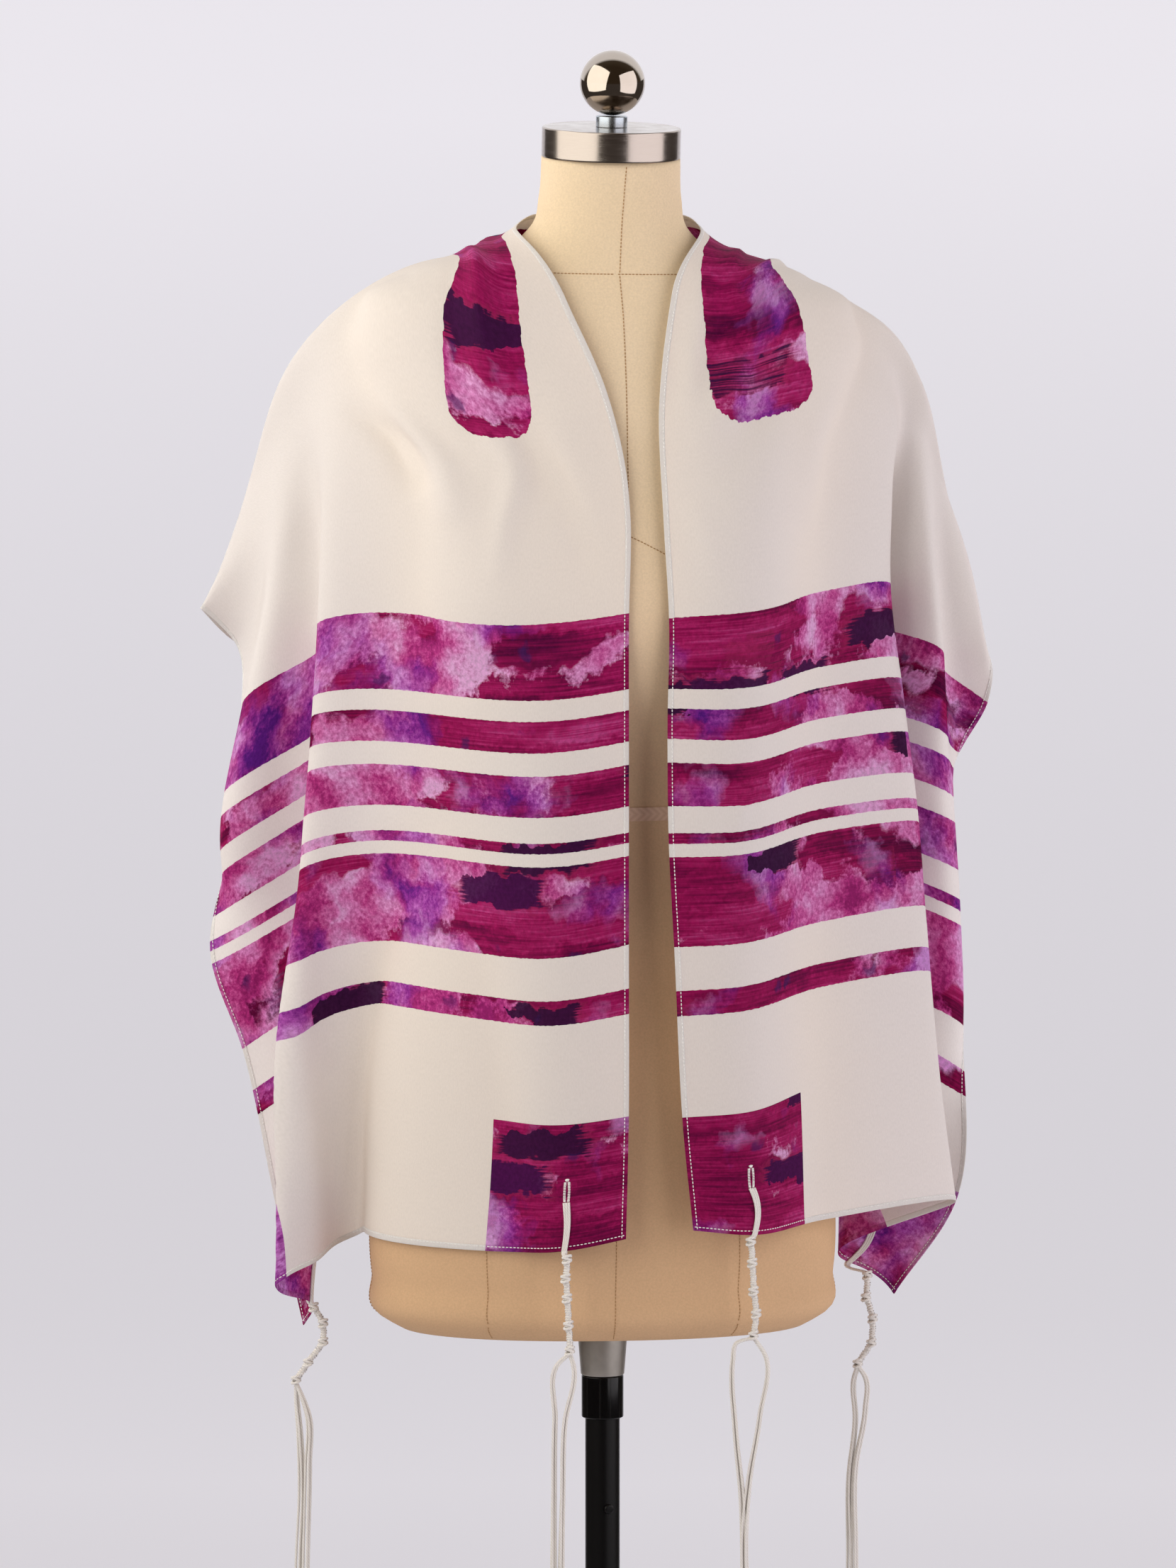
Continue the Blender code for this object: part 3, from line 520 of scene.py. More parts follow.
# Turned steel, brushed round its rim in streaks 0.4 mm wide: it blurs the soft boxes sideways.
steel, _, _ = clouded("steel_cap_brushed", 2500, 2, ("#A79D94", "#B8AEA5"), (0.07, 0.34),
                      stretch=(0.024, 0.024, 1), Metallic=1.0)
cap = add_mesh("neck_cap_turned", [lean_with_neck(turned_part(cap_shape))], steel)
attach(cap, "root")
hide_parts("neck_cap")

stem_low = CAP_HEIGHT + 2 * GAP
stem_shape = rounded_profile((
    (TINY, stem_low, 0), (STEM_RADIUS, stem_low, 0.4 * MM),
    (STEM_RADIUS, stem_low + STEM_HEIGHT, 0.8 * MM), (TINY, stem_low + STEM_HEIGHT, 0)))
# Bright zinc: blue-white, with the faint spangle of its plating.
zinc, _, _ = clouded("zinc_plated_stem", 600, 2, ("#A9B4BF", "#C3C9CE"), (0.22, 0.34),
                     Metallic=1.0)
stem = add_mesh("finial_stem_turned", [lean_with_neck(turned_part(stem_shape))], zinc)
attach(stem, "root")
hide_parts("finial_stem")

ball_middle = stem_low + STEM_HEIGHT + GAP + BALL_RADIUS
turn = np.linspace(-math.pi / 2, math.pi / 2, 96)
ball_shape = np.stack([np.maximum(BALL_RADIUS * np.cos(turn), TINY),
                       ball_middle + BALL_RADIUS * np.sin(turn)], -1)
# Chrome plate: it mirrors the whole room, through a trace of wiping marks.
chrome, _, _ = clouded("chrome_plated_ball", 90, 4, ("#B2A89C", "#C0B6AA"), (0.0025, 0.1275),
                       Metallic=1.0)
ball = add_mesh("finial_ball_polished", [lean_with_neck(turned_part(ball_shape))], chrome)
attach(ball, "root")
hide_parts("finial_ball")

# ---------------------------------------------------------------------------------------
# Stand: a powder-coated steel pole in a socket on a round plate. A moulded sleeve and a satin
# cone carry the torso, and a sprung button locks the pole's height.
# ---------------------------------------------------------------------------------------
POLE_RADIUS, SLEEVE_RADIUS = 12.7 * MM, 15.5 * MM
SLEEVE_LOW, CONE_LOW, TORSO_LOW = 0.576, 0.608, 0.647
CONE_TOP_RADIUS, CONE_LOW_RADIUS = 19 * MM, 16 * MM
PLATE_RADIUS, PLATE_HEIGHT = 0.200, 10 * MM
SOCKET_RADIUS, SOCKET_HEIGHT = 20 * MM, 28 * MM
BUTTON_HEIGHT, BUTTON_RADIUS, BUTTON_DEPTH = 0.509, 3.6 * MM, 2.4 * MM
BUTTON_TURN = math.radians(20)
bore = POLE_RADIUS + GAP


def sleeve_part(low, high, low_radius, high_radius, rounding):
    """A ring round the pole: its outline runs up the bore and down the outside."""
    outline = ((bore, (low + high) / 2, 0), (bore, high, rounding / 2),
               (high_radius, high, rounding), (low_radius, low, rounding),
               (bore, low, rounding / 2), (bore, (low + high) / 2 - TINY, 0))
    return turned_part(rounded_profile(outline), hollow=True)


# Powder coat: black, half dull, with its fine orange peel.
enamel, shader, peel = clouded("steel_powder_coated_black", 650, 2, ("#040304", "#080707"),
                               (0.36, 0.36))
bump = node(shader, "Bump", {"Height": peel, "Strength": 0.25, "Distance": 0.2 * MM})
link(shader, {"Normal": bump, "Specular IOR Level": 0.22})
# Moulded nylon: glossy, rubbed a little duller in places.
plastic, shader, _ = clouded("moulded_plastic_gloss_black", 70, 3, ("#070708", "#070708"),
                             (0.10, 0.22))
link(shader, {"Specular IOR Level": 0.3})
# Satin chrome over a casting: soft, slightly clouded reflections.
satin, _, _ = clouded("satin_chrome_cone", 160, 4, ("#B7B3AC", "#CFCBC4"), (0.38, 0.52),
                      Metallic=1.0)

pole_shape = rounded_profile((
    (TINY, PLATE_HEIGHT + GAP, 0), (POLE_RADIUS, PLATE_HEIGHT + GAP, 0.5 * MM),
    (POLE_RADIUS, TORSO_LOW - GAP, 0.5 * MM), (TINY, TORSO_LOW - GAP, 0)))
plate_shape = rounded_profile((
    (TINY, 0, 0), (PLATE_RADIUS - 1 * MM, 0, 0.8 * MM), (PLATE_RADIUS, 2 * MM, 0.8 * MM),
    (PLATE_RADIUS, PLATE_HEIGHT - 2.5 * MM, 1.5 * MM),
    (PLATE_RADIUS - 5 * MM, PLATE_HEIGHT, 3 * MM), (TINY, PLATE_HEIGHT, 0)))
button_shape = rounded_profile((
    (TINY, 0, 0), (BUTTON_RADIUS, 0, 0.1 * MM), (BUTTON_RADIUS, BUTTON_DEPTH, 1.6 * MM),
    (TINY, BUTTON_DEPTH, 0)))
points, quads, uv, ends = turned_part(button_shape, 40)
c, s = math.cos(BUTTON_TURN), math.sin(BUTTON_TURN)
away = points[:, 2] + bore
points = np.stack([c * points[:, 0] + s * away, s * points[:, 0] - c * away,
                   BUTTON_HEIGHT + points[:, 1]], -1)
button_part = (points, quads, uv, ends)
# piece, its parts, its finish, the node it stands for, the record's slot
STAND = (
    ("pole_coated", turned_part(pole_shape, 96), enamel, "pole", "black_enamel"),
    ("base_plate_coated", turned_part(plate_shape, 256), enamel, "base_plate", "black_enamel"),
    ("pole_socket_coated", sleeve_part(PLATE_HEIGHT + GAP, PLATE_HEIGHT + SOCKET_HEIGHT,
                                       SOCKET_RADIUS, SOCKET_RADIUS - 3 * MM, 1.2 * MM),
     enamel, "pole_socket", "black_enamel"),
    ("pole_sleeve_moulded", sleeve_part(SLEEVE_LOW, CONE_LOW - GAP, SLEEVE_RADIUS,
                                        SLEEVE_RADIUS, 1.2 * MM), plastic, "pole_sleeve",
     "black_plastic"),
    ("cone_collar_satin", sleeve_part(CONE_LOW, TORSO_LOW - GAP, CONE_LOW_RADIUS,
                                      CONE_TOP_RADIUS, 0.8 * MM), satin, "cone_collar",
     "grey_satin"),
    ("snap_button_domed", button_part, enamel, "snap_button", "polished_steel"),
)
for name, part, finish, stands_for, slot in STAND:
    piece = add_mesh(name, [part], finish)
    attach(piece, "root")
    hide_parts(stands_for)

# ---------------------------------------------------------------------------------------
# Shawl: one panel of light silk crepe, worn open over both shoulders. It is cut 1.83 m long
# and 0.46 m wide. Its length runs from the left front hem round the neck to the right one.
# ---------------------------------------------------------------------------------------
SHAWL_LENGTH, SHAWL_WIDTH = 1.830, 0.460
HALF_LENGTH = SHAWL_LENGTH / 2
CLOTH_WALL = 0.3 * MM
CLOTH_CLEARANCE = 4.0 * MM        # cloth's middle surface to the form
SHOULDER_CLEARANCE = 8.0 * MM     # and above the bust, over this stretch of height (m)
SHOULDER_FROM, SHOULDER_RUN = 1.30, 0.06
PUSHES, PUSH = 6, 0.9             # times, and share of the way clear of the form each time
LINE_STEPS = 160                  # of a fold line, across the cloth
CHORD_POWER = 0.75                # spaces a line's knots by its chords; under 1 turns softer
CREASE_FADE = 0.7                 # under 1 keeps a crease's height for longer along its run
# how far a fold's turn is spread along the cloth
FOLD_ROUNDING = {"left": 24 * MM, "right": 8 * MM}

# The shawl's two halves. Each row is a line across the cloth at one distance along it, from
# the front hem (0) to the nape (half the length). The columns are points on that line (mm):
#   edge      the long edge that runs up the front and round the neck
#   press     the faint pressed fold beside that edge
#   chest     the end of the front panel's flat
#   fold_1    the front panel's outer fold
#   valley_1  the valley behind it
#   fold_2    the side layer's outer fold
#   valley_2  the valley behind that
#   cape      the fold where the cloth falls from the shoulder
#   outer     the outer long edge
NAPE_ROW = ((0, 67, 1460), (0, 79, 1425), (0, 92, 1378), (0, 104, 1312), (0, 111, 1252),
            (0, 116, 1192), (0, 121, 1132), (0, 128, 1072), (0, 138, 1014))
LEFT_ROWS = {
    0.0000: ((17, -122, 728), (-30, -125, 718), (-179, 5, 712), (-247, -56, 681),
             (-208, 18, 656), (-213, 25, 650), (-216, 30, 646), (-219, 34, 642),
             (-221, 38, 638)),
    0.1000: ((19, -122, 817), (-30, -126, 810), (-182, -14, 811), (-242, -50, 773),
             (-203, 18, 745), (-221, 23, 735), (-229, 26, 730), (-235, 29, 726),
             (-240, 31, 723)),
    0.2225: ((19, -121, 943), (-30, -126, 933), (-182, -34, 933), (-234, -50, 918),
             (-195, 16, 893), (-235, 21, 866), (-248, 24, 857), (-257, 27, 850),
             (-265, 30, 844)),
    0.3000: ((19, -120, 1019), (-30, -126, 1011), (-182, -42, 1010), (-229, -50, 1000),
             (-194, 14, 978), (-250, 16, 941), (-268, 22, 929), (-280, 29, 922),
             (-289, 36, 917)),
    0.3800: ((19, -120, 1097), (-30, -127, 1089), (-181, -50, 1089), (-223, -50, 1085),
             (-194, 8, 1062), (-284, 2, 1001), (-285, 20, 996), (-281, 36, 993),
             (-275, 50, 991)),
    0.4720: ((19, -126, 1188), (-30, -130, 1181), (-181, -58, 1180), (-216, -50, 1172),
             (-193, 2, 1153), (-267, 0, 1110), (-264, 26, 1099), (-265, 46, 1093),
             (-266, 66, 1089)),
    0.5450: ((20, -119, 1259), (-30, -123, 1251), (-181, -58, 1251), (-212, -44, 1246),
             (-197, 2, 1225), (-252, 0, 1186), (-247, 34, 1168), (-262, 60, 1152),
             (-270, 84, 1139)),
    0.6000: ((14, -110, 1306), (-39, -116, 1291), (-178, -54, 1302), (-210, -34, 1291),
             (-205, 2, 1277), (-242, 4, 1249), (-246, 31, 1228), (-276, 48, 1206),
             (-296, 66, 1168)),
    0.6400: ((4, -100, 1343), (-48, -108, 1326), (-175, -46, 1337), (-209, -22, 1328),
             (-213, 4, 1316), (-235, 12, 1297), (-245, 34, 1276), (-269, 56, 1240),
             (-272, 112, 1138)),
    0.7200: ((-28, -73, 1413), (-76, -64, 1402), (-124, -18, 1425), (-187, 0, 1403),
             (-211, 10, 1381), (-228, 20, 1358), (-240, 37, 1322), (-243, 58, 1264),
             (-212, 106, 1150)),
    0.8200: ((-57, 10, 1457), (-80, 26, 1447), (-108, 44, 1424), (-140, 75, 1380),
             (-157, 95, 1330), (-164, 108, 1280), (-158, 117, 1230), (-142, 126, 1160),
             (-112, 134, 1078)),
    0.9150: NAPE_ROW,
}
RIGHT_ROWS = {
    0.0000: ((66, -120, 734), (108, -117, 730), (161, -52, 731), (262, 30, 732), (173, 80, 683),
             (196, 86, 672), (206, 82, 666), (212, 77, 661), (216, 71, 656)),
    0.1000: ((58, -121, 816), (104, -118, 819), (161, -42, 828), (250, 30, 827), (175, 77, 780),
             (225, 73, 750), (244, 66, 741), (256, 58, 736), (263, 50, 734)),
    0.2225: ((52, -121, 941), (98, -118, 943), (161, -34, 948), (239, 24, 951), (176, 80, 909),
             (260, 62, 862), (267, 68, 856), (268, 74, 854), (266, 79, 853)),
    0.3000: ((48, -120, 1018), (98, -118, 1019), (161, -34, 1025), (233, 24, 1024),
             (178, 78, 986), (259, 58, 947), (265, 68, 942), (264, 79, 940), (260, 89, 939)),
    0.3800: ((47, -120, 1099), (98, -119, 1098), (161, -34, 1103), (223, 24, 1102),
             (180, 78, 1068), (254, 52, 1038), (259, 68, 1031), (258, 84, 1028),
             (253, 98, 1027)),
    0.4720: ((48, -124, 1184), (97, -122, 1188), (160, -36, 1193), (212, 22, 1192),
             (192, 66, 1161), (250, 36, 1142), (251, 68, 1122), (272, 76, 1106),
             (284, 70, 1098)),
    0.5450: ((44, -118, 1256), (97, -118, 1258), (163, -32, 1265), (213, 16, 1262),
             (200, 52, 1238), (243, 32, 1217), (246, 56, 1200), (269, 60, 1184),
             (286, 74, 1128)),
    0.6400: ((41, -95, 1342), (92, -92, 1342), (171, -22, 1350), (213, 10, 1331),
             (220, 29, 1313), (235, 34, 1298), (243, 47, 1276), (258, 62, 1240),
             (258, 104, 1126)),
    0.7200: ((50, -65, 1415), (98, -50, 1410), (129, -14, 1418), (181, 4, 1400),
             (212, 12, 1379), (231, 24, 1342), (238, 40, 1310), (238, 62, 1255),
             (200, 112, 1128)),
    0.8200: ((59, 12, 1454), (82, 28, 1443), (110, 44, 1421), (142, 75, 1378), (158, 95, 1330),
             (165, 108, 1280), (159, 117, 1230), (142, 126, 1160), (112, 136, 1075)),
    0.9150: NAPE_ROW,
}

# Creases: half of the shawl, start and end as (along, across) in mm, half width, height
CREASES = (
    # soft creases
    ("left", (640, 205), (560, 165), 16, -7.0), ("left", (650, 160), (540, 130), 15, 6.5),
    ("left", (700, 75), (560, 60), 16, -6.5), ("left", (760, 50), (600, 95), 15, 6.5),
    ("left", (520, 320), (-400, 324), 26, 12.0), ("right", (700, 110), (560, 40), 22, -6.5),
    ("right", (720, 70), (600, 35), 15, 5.5), ("right", (640, 150), (520, 120), 20, 5.0),
    ("left", (900, 150), (860, 420), 24, 8.0), ("left", (820, 220), (800, 450), 24, -7.5),
    ("right", (880, 170), (850, 440), 24, 8.0), ("right", (800, 240), (790, 450), 22, -7.5),
    # broad swells where the cloth lies over the bust
    ("left", (660, 118), (380, 118), 58, 8.0), ("right", (660, 80), (380, 74), 52, 9.0),
    # sharper gathers and pleats
    ("left", (800, 45), (660, 70), 9, 6.0), ("left", (680, 68), (560, 85), 9, 4.0),
    ("left", (720, 35), (640, 55), 8, -4.0), ("left", (700, 85), (620, 105), 8, -4.0),
    ("left", (620, 85), (500, 100), 9, 3.5), ("left", (620, 60), (500, 30), 9, -3.0),
    ("left", (860, 30), (760, 36), 7, 3.0), ("left", (860, 70), (770, 78), 7, -3.0),
    ("right", (735, 36), (705, 54), 6, 5.0), ("right", (730, 44), (706, 62), 6, -5.0),
    ("right", (800, 40), (740, 38), 7, 3.5), ("right", (810, 60), (745, 58), 7, -3.5),
    ("right", (800, 78), (735, 80), 7, 3.5), ("right", (790, 96), (730, 100), 8, -3.0),
    ("right", (740, 20), (620, 22), 8, 3.0), ("right", (740, 37), (620, 37), 8, -3.0),
    ("right", (560, 20), (500, 42), 9, 2.5), ("right", (300, 46), (352, 64), 5, 3.0),
)


def clear_of_torso(points):
    """Points moved straight out from the torso until they are clear of it."""
    up = np.clip((points[..., 2] - SHOULDER_FROM) / SHOULDER_RUN, 0, 1)
    clearance = CLOTH_CLEARANCE + (SHOULDER_CLEARANCE - CLOTH_CLEARANCE) * up
    for _ in range(PUSHES):
        distance, away = torso_distance(points)
        points = points + np.maximum(clearance - distance, 0)[..., None] * away * PUSH
    return points


def half_sections(rows, along):
    """Dense lines across one half of the cloth, one for each distance along it: each is a
    smooth curve through its row of fold points."""
    columns = smooth_curve(list(rows), np.array(list(rows.values())) * MM, along)
    lines = []
    for line in columns:
        chords = np.linalg.norm(np.diff(line, axis=0), axis=1) ** CHORD_POWER
        places = np.concatenate([[0], np.cumsum(chords)])
        lines.append(smooth_curve(places, line, np.linspace(0, places[-1], LINE_STEPS + 1)))
    return np.array(lines)


def spread_evenly(lines, across):
    """Each line's points at the given distances across the cloth."""
    result = []
    for line in lines:
        length = running_length(line)
        place = length / length[-1] * SHAWL_WIDTH
        result.append(np.stack([np.interp(across, place, line[:, k]) for k in range(3)], -1))
    return np.array(result)


def round_folds(lines, reach):
    """Lines with their folds rounded: each point moves towards its neighbours' mean."""
    lines = spread_evenly(lines, np.linspace(0, SHAWL_WIDTH, LINE_STEPS + 1))
    for _ in range(int((reach * LINE_STEPS / SHAWL_WIDTH) ** 2)):
        lines[:, 1:-1] += 0.25 * (lines[:, :-2] + lines[:, 2:] - 2 * lines[:, 1:-1])
    return lines


def crease_height(half, along, across):
    """Height of the creases at each point of one half: a bell across each crease's line that
    fades towards its ends."""
    height = np.zeros(along.shape)
    for side, start, end, half_width, rise in CREASES:
        if side == half:
            run = (np.array(end) - start) * MM
            offset = np.stack([along - start[0] * MM, across - start[1] * MM], -1)
            place = (offset @ run) / (run @ run)
            away = np.linalg.norm(offset - np.clip(place, 0, 1)[..., None] * run, axis=-1)
            fade = np.sin(np.pi * np.clip(place, 0.02, 0.98)) ** CREASE_FADE
            height += rise * MM * fade * np.exp(-(away / (half_width * MM)) ** 2)
    return height


def sheet_normals(grid):
    """Unit normals of the shawl's grid, on its right side."""
    normal = np.cross(np.gradient(grid, axis=0), np.gradient(grid, axis=1))
    return normal / (np.linalg.norm(normal, axis=-1, keepdims=True) + 1e-12)


def half_surface(half, along, across):
    """The middle surface of one half of the shawl on a grid of (along, across)."""
    rows = LEFT_ROWS if half == "left" else RIGHT_ROWS
    reach = FOLD_ROUNDING[half]
    lines = round_folds(half_sections(rows, along), reach)
    lines = round_folds(clear_of_torso(lines), reach / 2)
    grid = spread_evenly(clear_of_torso(lines), across)
    a, b = np.meshgrid(along, across, indexing="ij")
    height = crease_height(half, a, b) * (1 if half == "left" else -1)
    return clear_of_torso(grid + height[..., None] * sheet_normals(grid))


ALONG_STEPS, FLAT_STEPS, FOLD_STEPS = 152, 50, 94
FLAT_WIDTH = 0.200
along = np.linspace(0, HALF_LENGTH, ALONG_STEPS + 1)
across = np.concatenate([np.linspace(0, FLAT_WIDTH, FLAT_STEPS + 1)[:-1],
                         np.linspace(FLAT_WIDTH, SHAWL_WIDTH, FOLD_STEPS + 1)])
cloth = np.concatenate([half_surface("left", along, across),
                        half_surface("right", along, across)[-2::-1]])
CLOTH_ALONG = np.concatenate([along, SHAWL_LENGTH - along[-2::-1]])
CLOTH_ACROSS = across
CLOTH_GRID = np.concatenate([cloth, sheet_normals(cloth)], -1)


def on_cloth(s, t, out=0.0):
    """Points of the cloth at s along and t across its whole length and width, lifted off its
    right side by out: a cell's four corners, weighted by how near each is."""
    i = np.clip(np.searchsorted(CLOTH_ALONG, s, side="right") - 1, 0, len(CLOTH_ALONG) - 2)
    j = np.clip(np.searchsorted(CLOTH_ACROSS, t, side="right") - 1, 0, len(CLOTH_ACROSS) - 2)
    u = ((s - CLOTH_ALONG[i]) / (CLOTH_ALONG[i + 1] - CLOTH_ALONG[i]))[..., None]
    v = ((t - CLOTH_ACROSS[j]) / (CLOTH_ACROSS[j + 1] - CLOTH_ACROSS[j]))[..., None]
    mixed = ((1 - u) * (1 - v) * CLOTH_GRID[i, j] + u * (1 - v) * CLOTH_GRID[i + 1, j]
             + (1 - u) * v * CLOTH_GRID[i, j + 1] + u * v * CLOTH_GRID[i + 1, j + 1])
    normal = mixed[..., 3:] / np.linalg.norm(mixed[..., 3:], axis=-1, keepdims=True)
    return mixed[..., :3] + np.asarray(out)[..., None] * normal


BAND_EDGES = (0.1735, 0.1915, 0.2225, 0.2895, 0.2985, 0.3070, 0.3260, 0.3580, 0.3745, 0.3980,
              0.4145, 0.4720)     # stripes, from each short hem
BAND_RAGGED = 1.2 * MM            # how far a stripe's edge wanders
RAMP_PER_METRE = 2                # the stripes' ramp spans half a metre
SQUARE_ALONG, SQUARE_ACROSS = 0.1015, 0.113
# Neckband: its ends along the cloth and its half width at each of them. Each end bends away
# from the neck edge, from a middle line over the shoulders to another at the end itself.
NECKBAND_ENDS = (0.625, 1.213)
NECKBAND_HALVES = (0.030, 0.046)
NECKBAND_MIDDLES = (0.042, 0.088)
NECKBAND_BEND = 0.15
NECKBAND_SHOULDER_SHARE = 0.76    # of the half width, over the shoulders
NECKBAND_ROUND = 0.034            # of each end's rounding, along the cloth


def dye_colour(shader, s, t):
    """A hand-painted wash of mixed dyes, at each distance along the cloth and from its neck
    edge: streaky magenta, granular pink and lilac pools, violet washes and dark strokes."""
    run = node(shader, "CombineXYZ", {0: s, 1: t, 2: 0.0})
    # Wet edges wander by a few millimetres.
    drift = drawn_noise(shader, run, 75, 4)
    drift = node(shader, "VectorMath", {0: drift.outputs["Color"], 1: (0.5, 0.5, 0.5)},
                 operation="SUBTRACT")
    wet = node(shader, "VectorMath", {0: drift, 1: (0.022, 0.022, 0.0), 2: run},
               operation="MULTIPLY_ADD")
    # Magenta drawn along the stripe with a broad brush, in streaks of 20 mm and of 1.6 mm.
    broad = drawn_noise(shader, wet, 48, 3, stretch=(1, 0.12, 1))
    hairs = drawn_noise(shader, run, 620, 2, stretch=(1, 0.03, 1))
    laid = node(shader, "Mix", {0: 0.34, "A": broad, "B": hairs}, data_type="FLOAT")
    brushed = node(shader, "ValToRGB", {0: laid}, stops=(
        (0.34, "#5A0840"), (0.43, "#86104E"), (0.50, "#A8165E"), (0.57, "#BA2870"),
        (0.66, "#CF5098")))
    # Pink and lilac pools, more of them away from the neck edge, with pigment in grains.
    grain = node(shader, "TexNoise", {"Vector": run, "Scale": 300, "Detail": 4,
                                      "Roughness": 0.7})
    spread = drawn_noise(shader, wet, 19, 3, stretch=(1, 0.62, 1))
    outward = ranged(shader, t, (0.05, 0.19), (-0.105, 0.085))
    reach = maths(shader, "ADD", spread, outward)
    reach = maths(shader, "MULTIPLY_ADD", grain, 0.09, reach)
    pool = ranged(shader, reach, (0.545, 0.585))
    pooled = drawn_noise(shader, wet, 24, 3, shift=(2.3, 0.9, 0))
    pooled = maths(shader, "MULTIPLY_ADD", grain, 0.30, pooled)
    pinks = node(shader, "ValToRGB", {0: pooled}, stops=(
        (0.48, "#A82878"), (0.565, "#C84092"), (0.63, "#D868AE"), (0.70, "#E490CC"),
        (0.78, "#EDB8E4")))
    # Violet washes over both, a hand's width across.
    washes = drawn_noise(shader, wet, 12, 4, shift=(5.1, 3.7, 0))
    farther = ranged(shader, t, (0.12, 0.30), (0, 0.085))
    washes = maths(shader, "ADD", washes, farther)
    violet = ranged(shader, washes, (0.56, 0.66), (0, 0.8))
    violets = node(shader, "ValToRGB", {0: pooled}, stops=(
        (0.48, "#55229A"), (0.57, "#9434AA"), (0.66, "#BE5CC6"), (0.76, "#DA9AE2")))
    # Dark plum strokes, 30 mm by 90 mm, whose wet rims dried red, and a few ink spots.
    stroke = node(shader, "VectorMath", {0: wet, 1: (1.0, 0.34, 1.0)}, operation="MULTIPLY")
    stroke = node(shader, "TexVoronoi", {"Vector": stroke, "Scale": 33}, distance="CHEBYCHEV")
    chance = node(shader, "SeparateXYZ", {0: stroke.outputs["Color"]})
    rare = maths(shader, "MULTIPLY_ADD", farther, 2.6, 0.78)
    chosen = maths(shader, "GREATER_THAN", chance, rare)
    depth = maths(shader, "MULTIPLY_ADD", hairs, 0.30, stroke.outputs["Distance"])
    rim = ranged(shader, depth, (0.66, 0.56), (0, 0.75))
    rim = maths(shader, "MULTIPLY", rim, chosen)
    body = ranged(shader, depth, (0.575, 0.52), (0, 0.9))
    body = maths(shader, "MULTIPLY", body, chosen)
    plum = blended(shader, chance.outputs["Y"], linear("#451055"), linear("#21123C"))
    spots = node(shader, "TexVoronoi", {"Vector": wet, "Scale": 26})
    odds = node(shader, "SeparateXYZ", {0: spots.outputs["Color"]})
    odds = maths(shader, "GREATER_THAN", odds, 0.62)
    ink = ranged(shader, spots.outputs["Distance"], (0.16, 0.09), (0, 0.62))
    ink = maths(shader, "MULTIPLY", ink, odds)
    colour = brushed
    for cover, dye in ((pool, pinks), (violet, violets), (rim, linear("#B02A62")), (body, plum),
                       (ink, linear("#3B2268"))):
        colour = blended(shader, cover, colour, dye)
    specks = ranged(shader, grain, (0.36, 0.64), (0.80, 1.12))
    return blended(shader, 1.0, colour, specks, "MULTIPLY")


def printed_silk(shader, plain):
    """The cloth's colour at each point of its UV map, in metres along and across: plain cloth,
    and the wash of dyes in the stripes, the corner squares and the neckband."""
    uv = node(shader, "TexCoord").outputs["UV"]
    place = node(shader, "SeparateXYZ", {0: uv})
    s, t = place.outputs["X"], place.outputs["Y"]
    rest = maths(shader, "SUBTRACT", SHAWL_LENGTH, s)
    d = maths(shader, "MINIMUM", s, rest)
    # Stripes by their distance from the hem, printed with edges true to half a millimetre.
    edge_noise = drawn_noise(shader, uv, 260, 1)
    ragged = maths(shader, "MULTIPLY_ADD", edge_noise, BAND_RAGGED, d)
    ragged = maths(shader, "MULTIPLY", ragged, RAMP_PER_METRE)
    bands = node(shader, "ValToRGB", {0: ragged}, stops=[(0.0, "#000000")] + [
        ((edge + BAND_RAGGED / 2) * RAMP_PER_METRE, "#FFFFFF" if k % 2 == 0 else "#000000")
        for k, edge in enumerate(BAND_EDGES)])
    bands.color_ramp.interpolation = "CONSTANT"
    near_hem = maths(shader, "LESS_THAN", d, SQUARE_ALONG)
    inner = maths(shader, "LESS_THAN", t, SQUARE_ACROSS)
    outer = maths(shader, "GREATER_THAN", t, SHAWL_WIDTH - SQUARE_ACROSS)
    side = maths(shader, "MAXIMUM", inner, outer)
    square = maths(shader, "MULTIPLY", near_hem, side)
    # Neckband: a long brushed shape, round at its ends, with a ragged outline.
    left, right = NECKBAND_ENDS
    a = maths(shader, "SUBTRACT", s, (left + right) / 2)
    a = maths(shader, "ABSOLUTE", a)
    reach = (right - left) / 2
    middle = ranged(shader, a, (reach - NECKBAND_BEND, reach), NECKBAND_MIDDLES)
    share = ranged(shader, a, (reach - NECKBAND_BEND, reach), (NECKBAND_SHOULDER_SHARE, 1))
    half = ranged(shader, s, NECKBAND_ENDS, NECKBAND_HALVES)
    half = maths(shader, "MULTIPLY", half, share)
    b = maths(shader, "SUBTRACT", t, middle)
    b = maths(shader, "DIVIDE", b, half)
    b = maths(shader, "POWER", b, 4.0)
    a = ranged(shader, a, (reach - NECKBAND_ROUND, reach), clamp=False)
    a = maths(shader, "MAXIMUM", a, 0.0)
    a = maths(shader, "POWER", a, 3.0)
    a = maths(shader, "ADD", a, b)
    frayed = drawn_noise(shader, uv, 230, 3, stretch=(0.35, 1, 1))
    a = maths(shader, "MULTIPLY_ADD", frayed, 0.55, a)
    neckband = maths(shader, "LESS_THAN", a, 1.22)
    dyed = maths(shader, "MAXIMUM", bands, square)
    dyed = maths(shader, "MAXIMUM", dyed, neckband)
    return blended(shader, dyed, plain, dye_colour(shader, s, t))


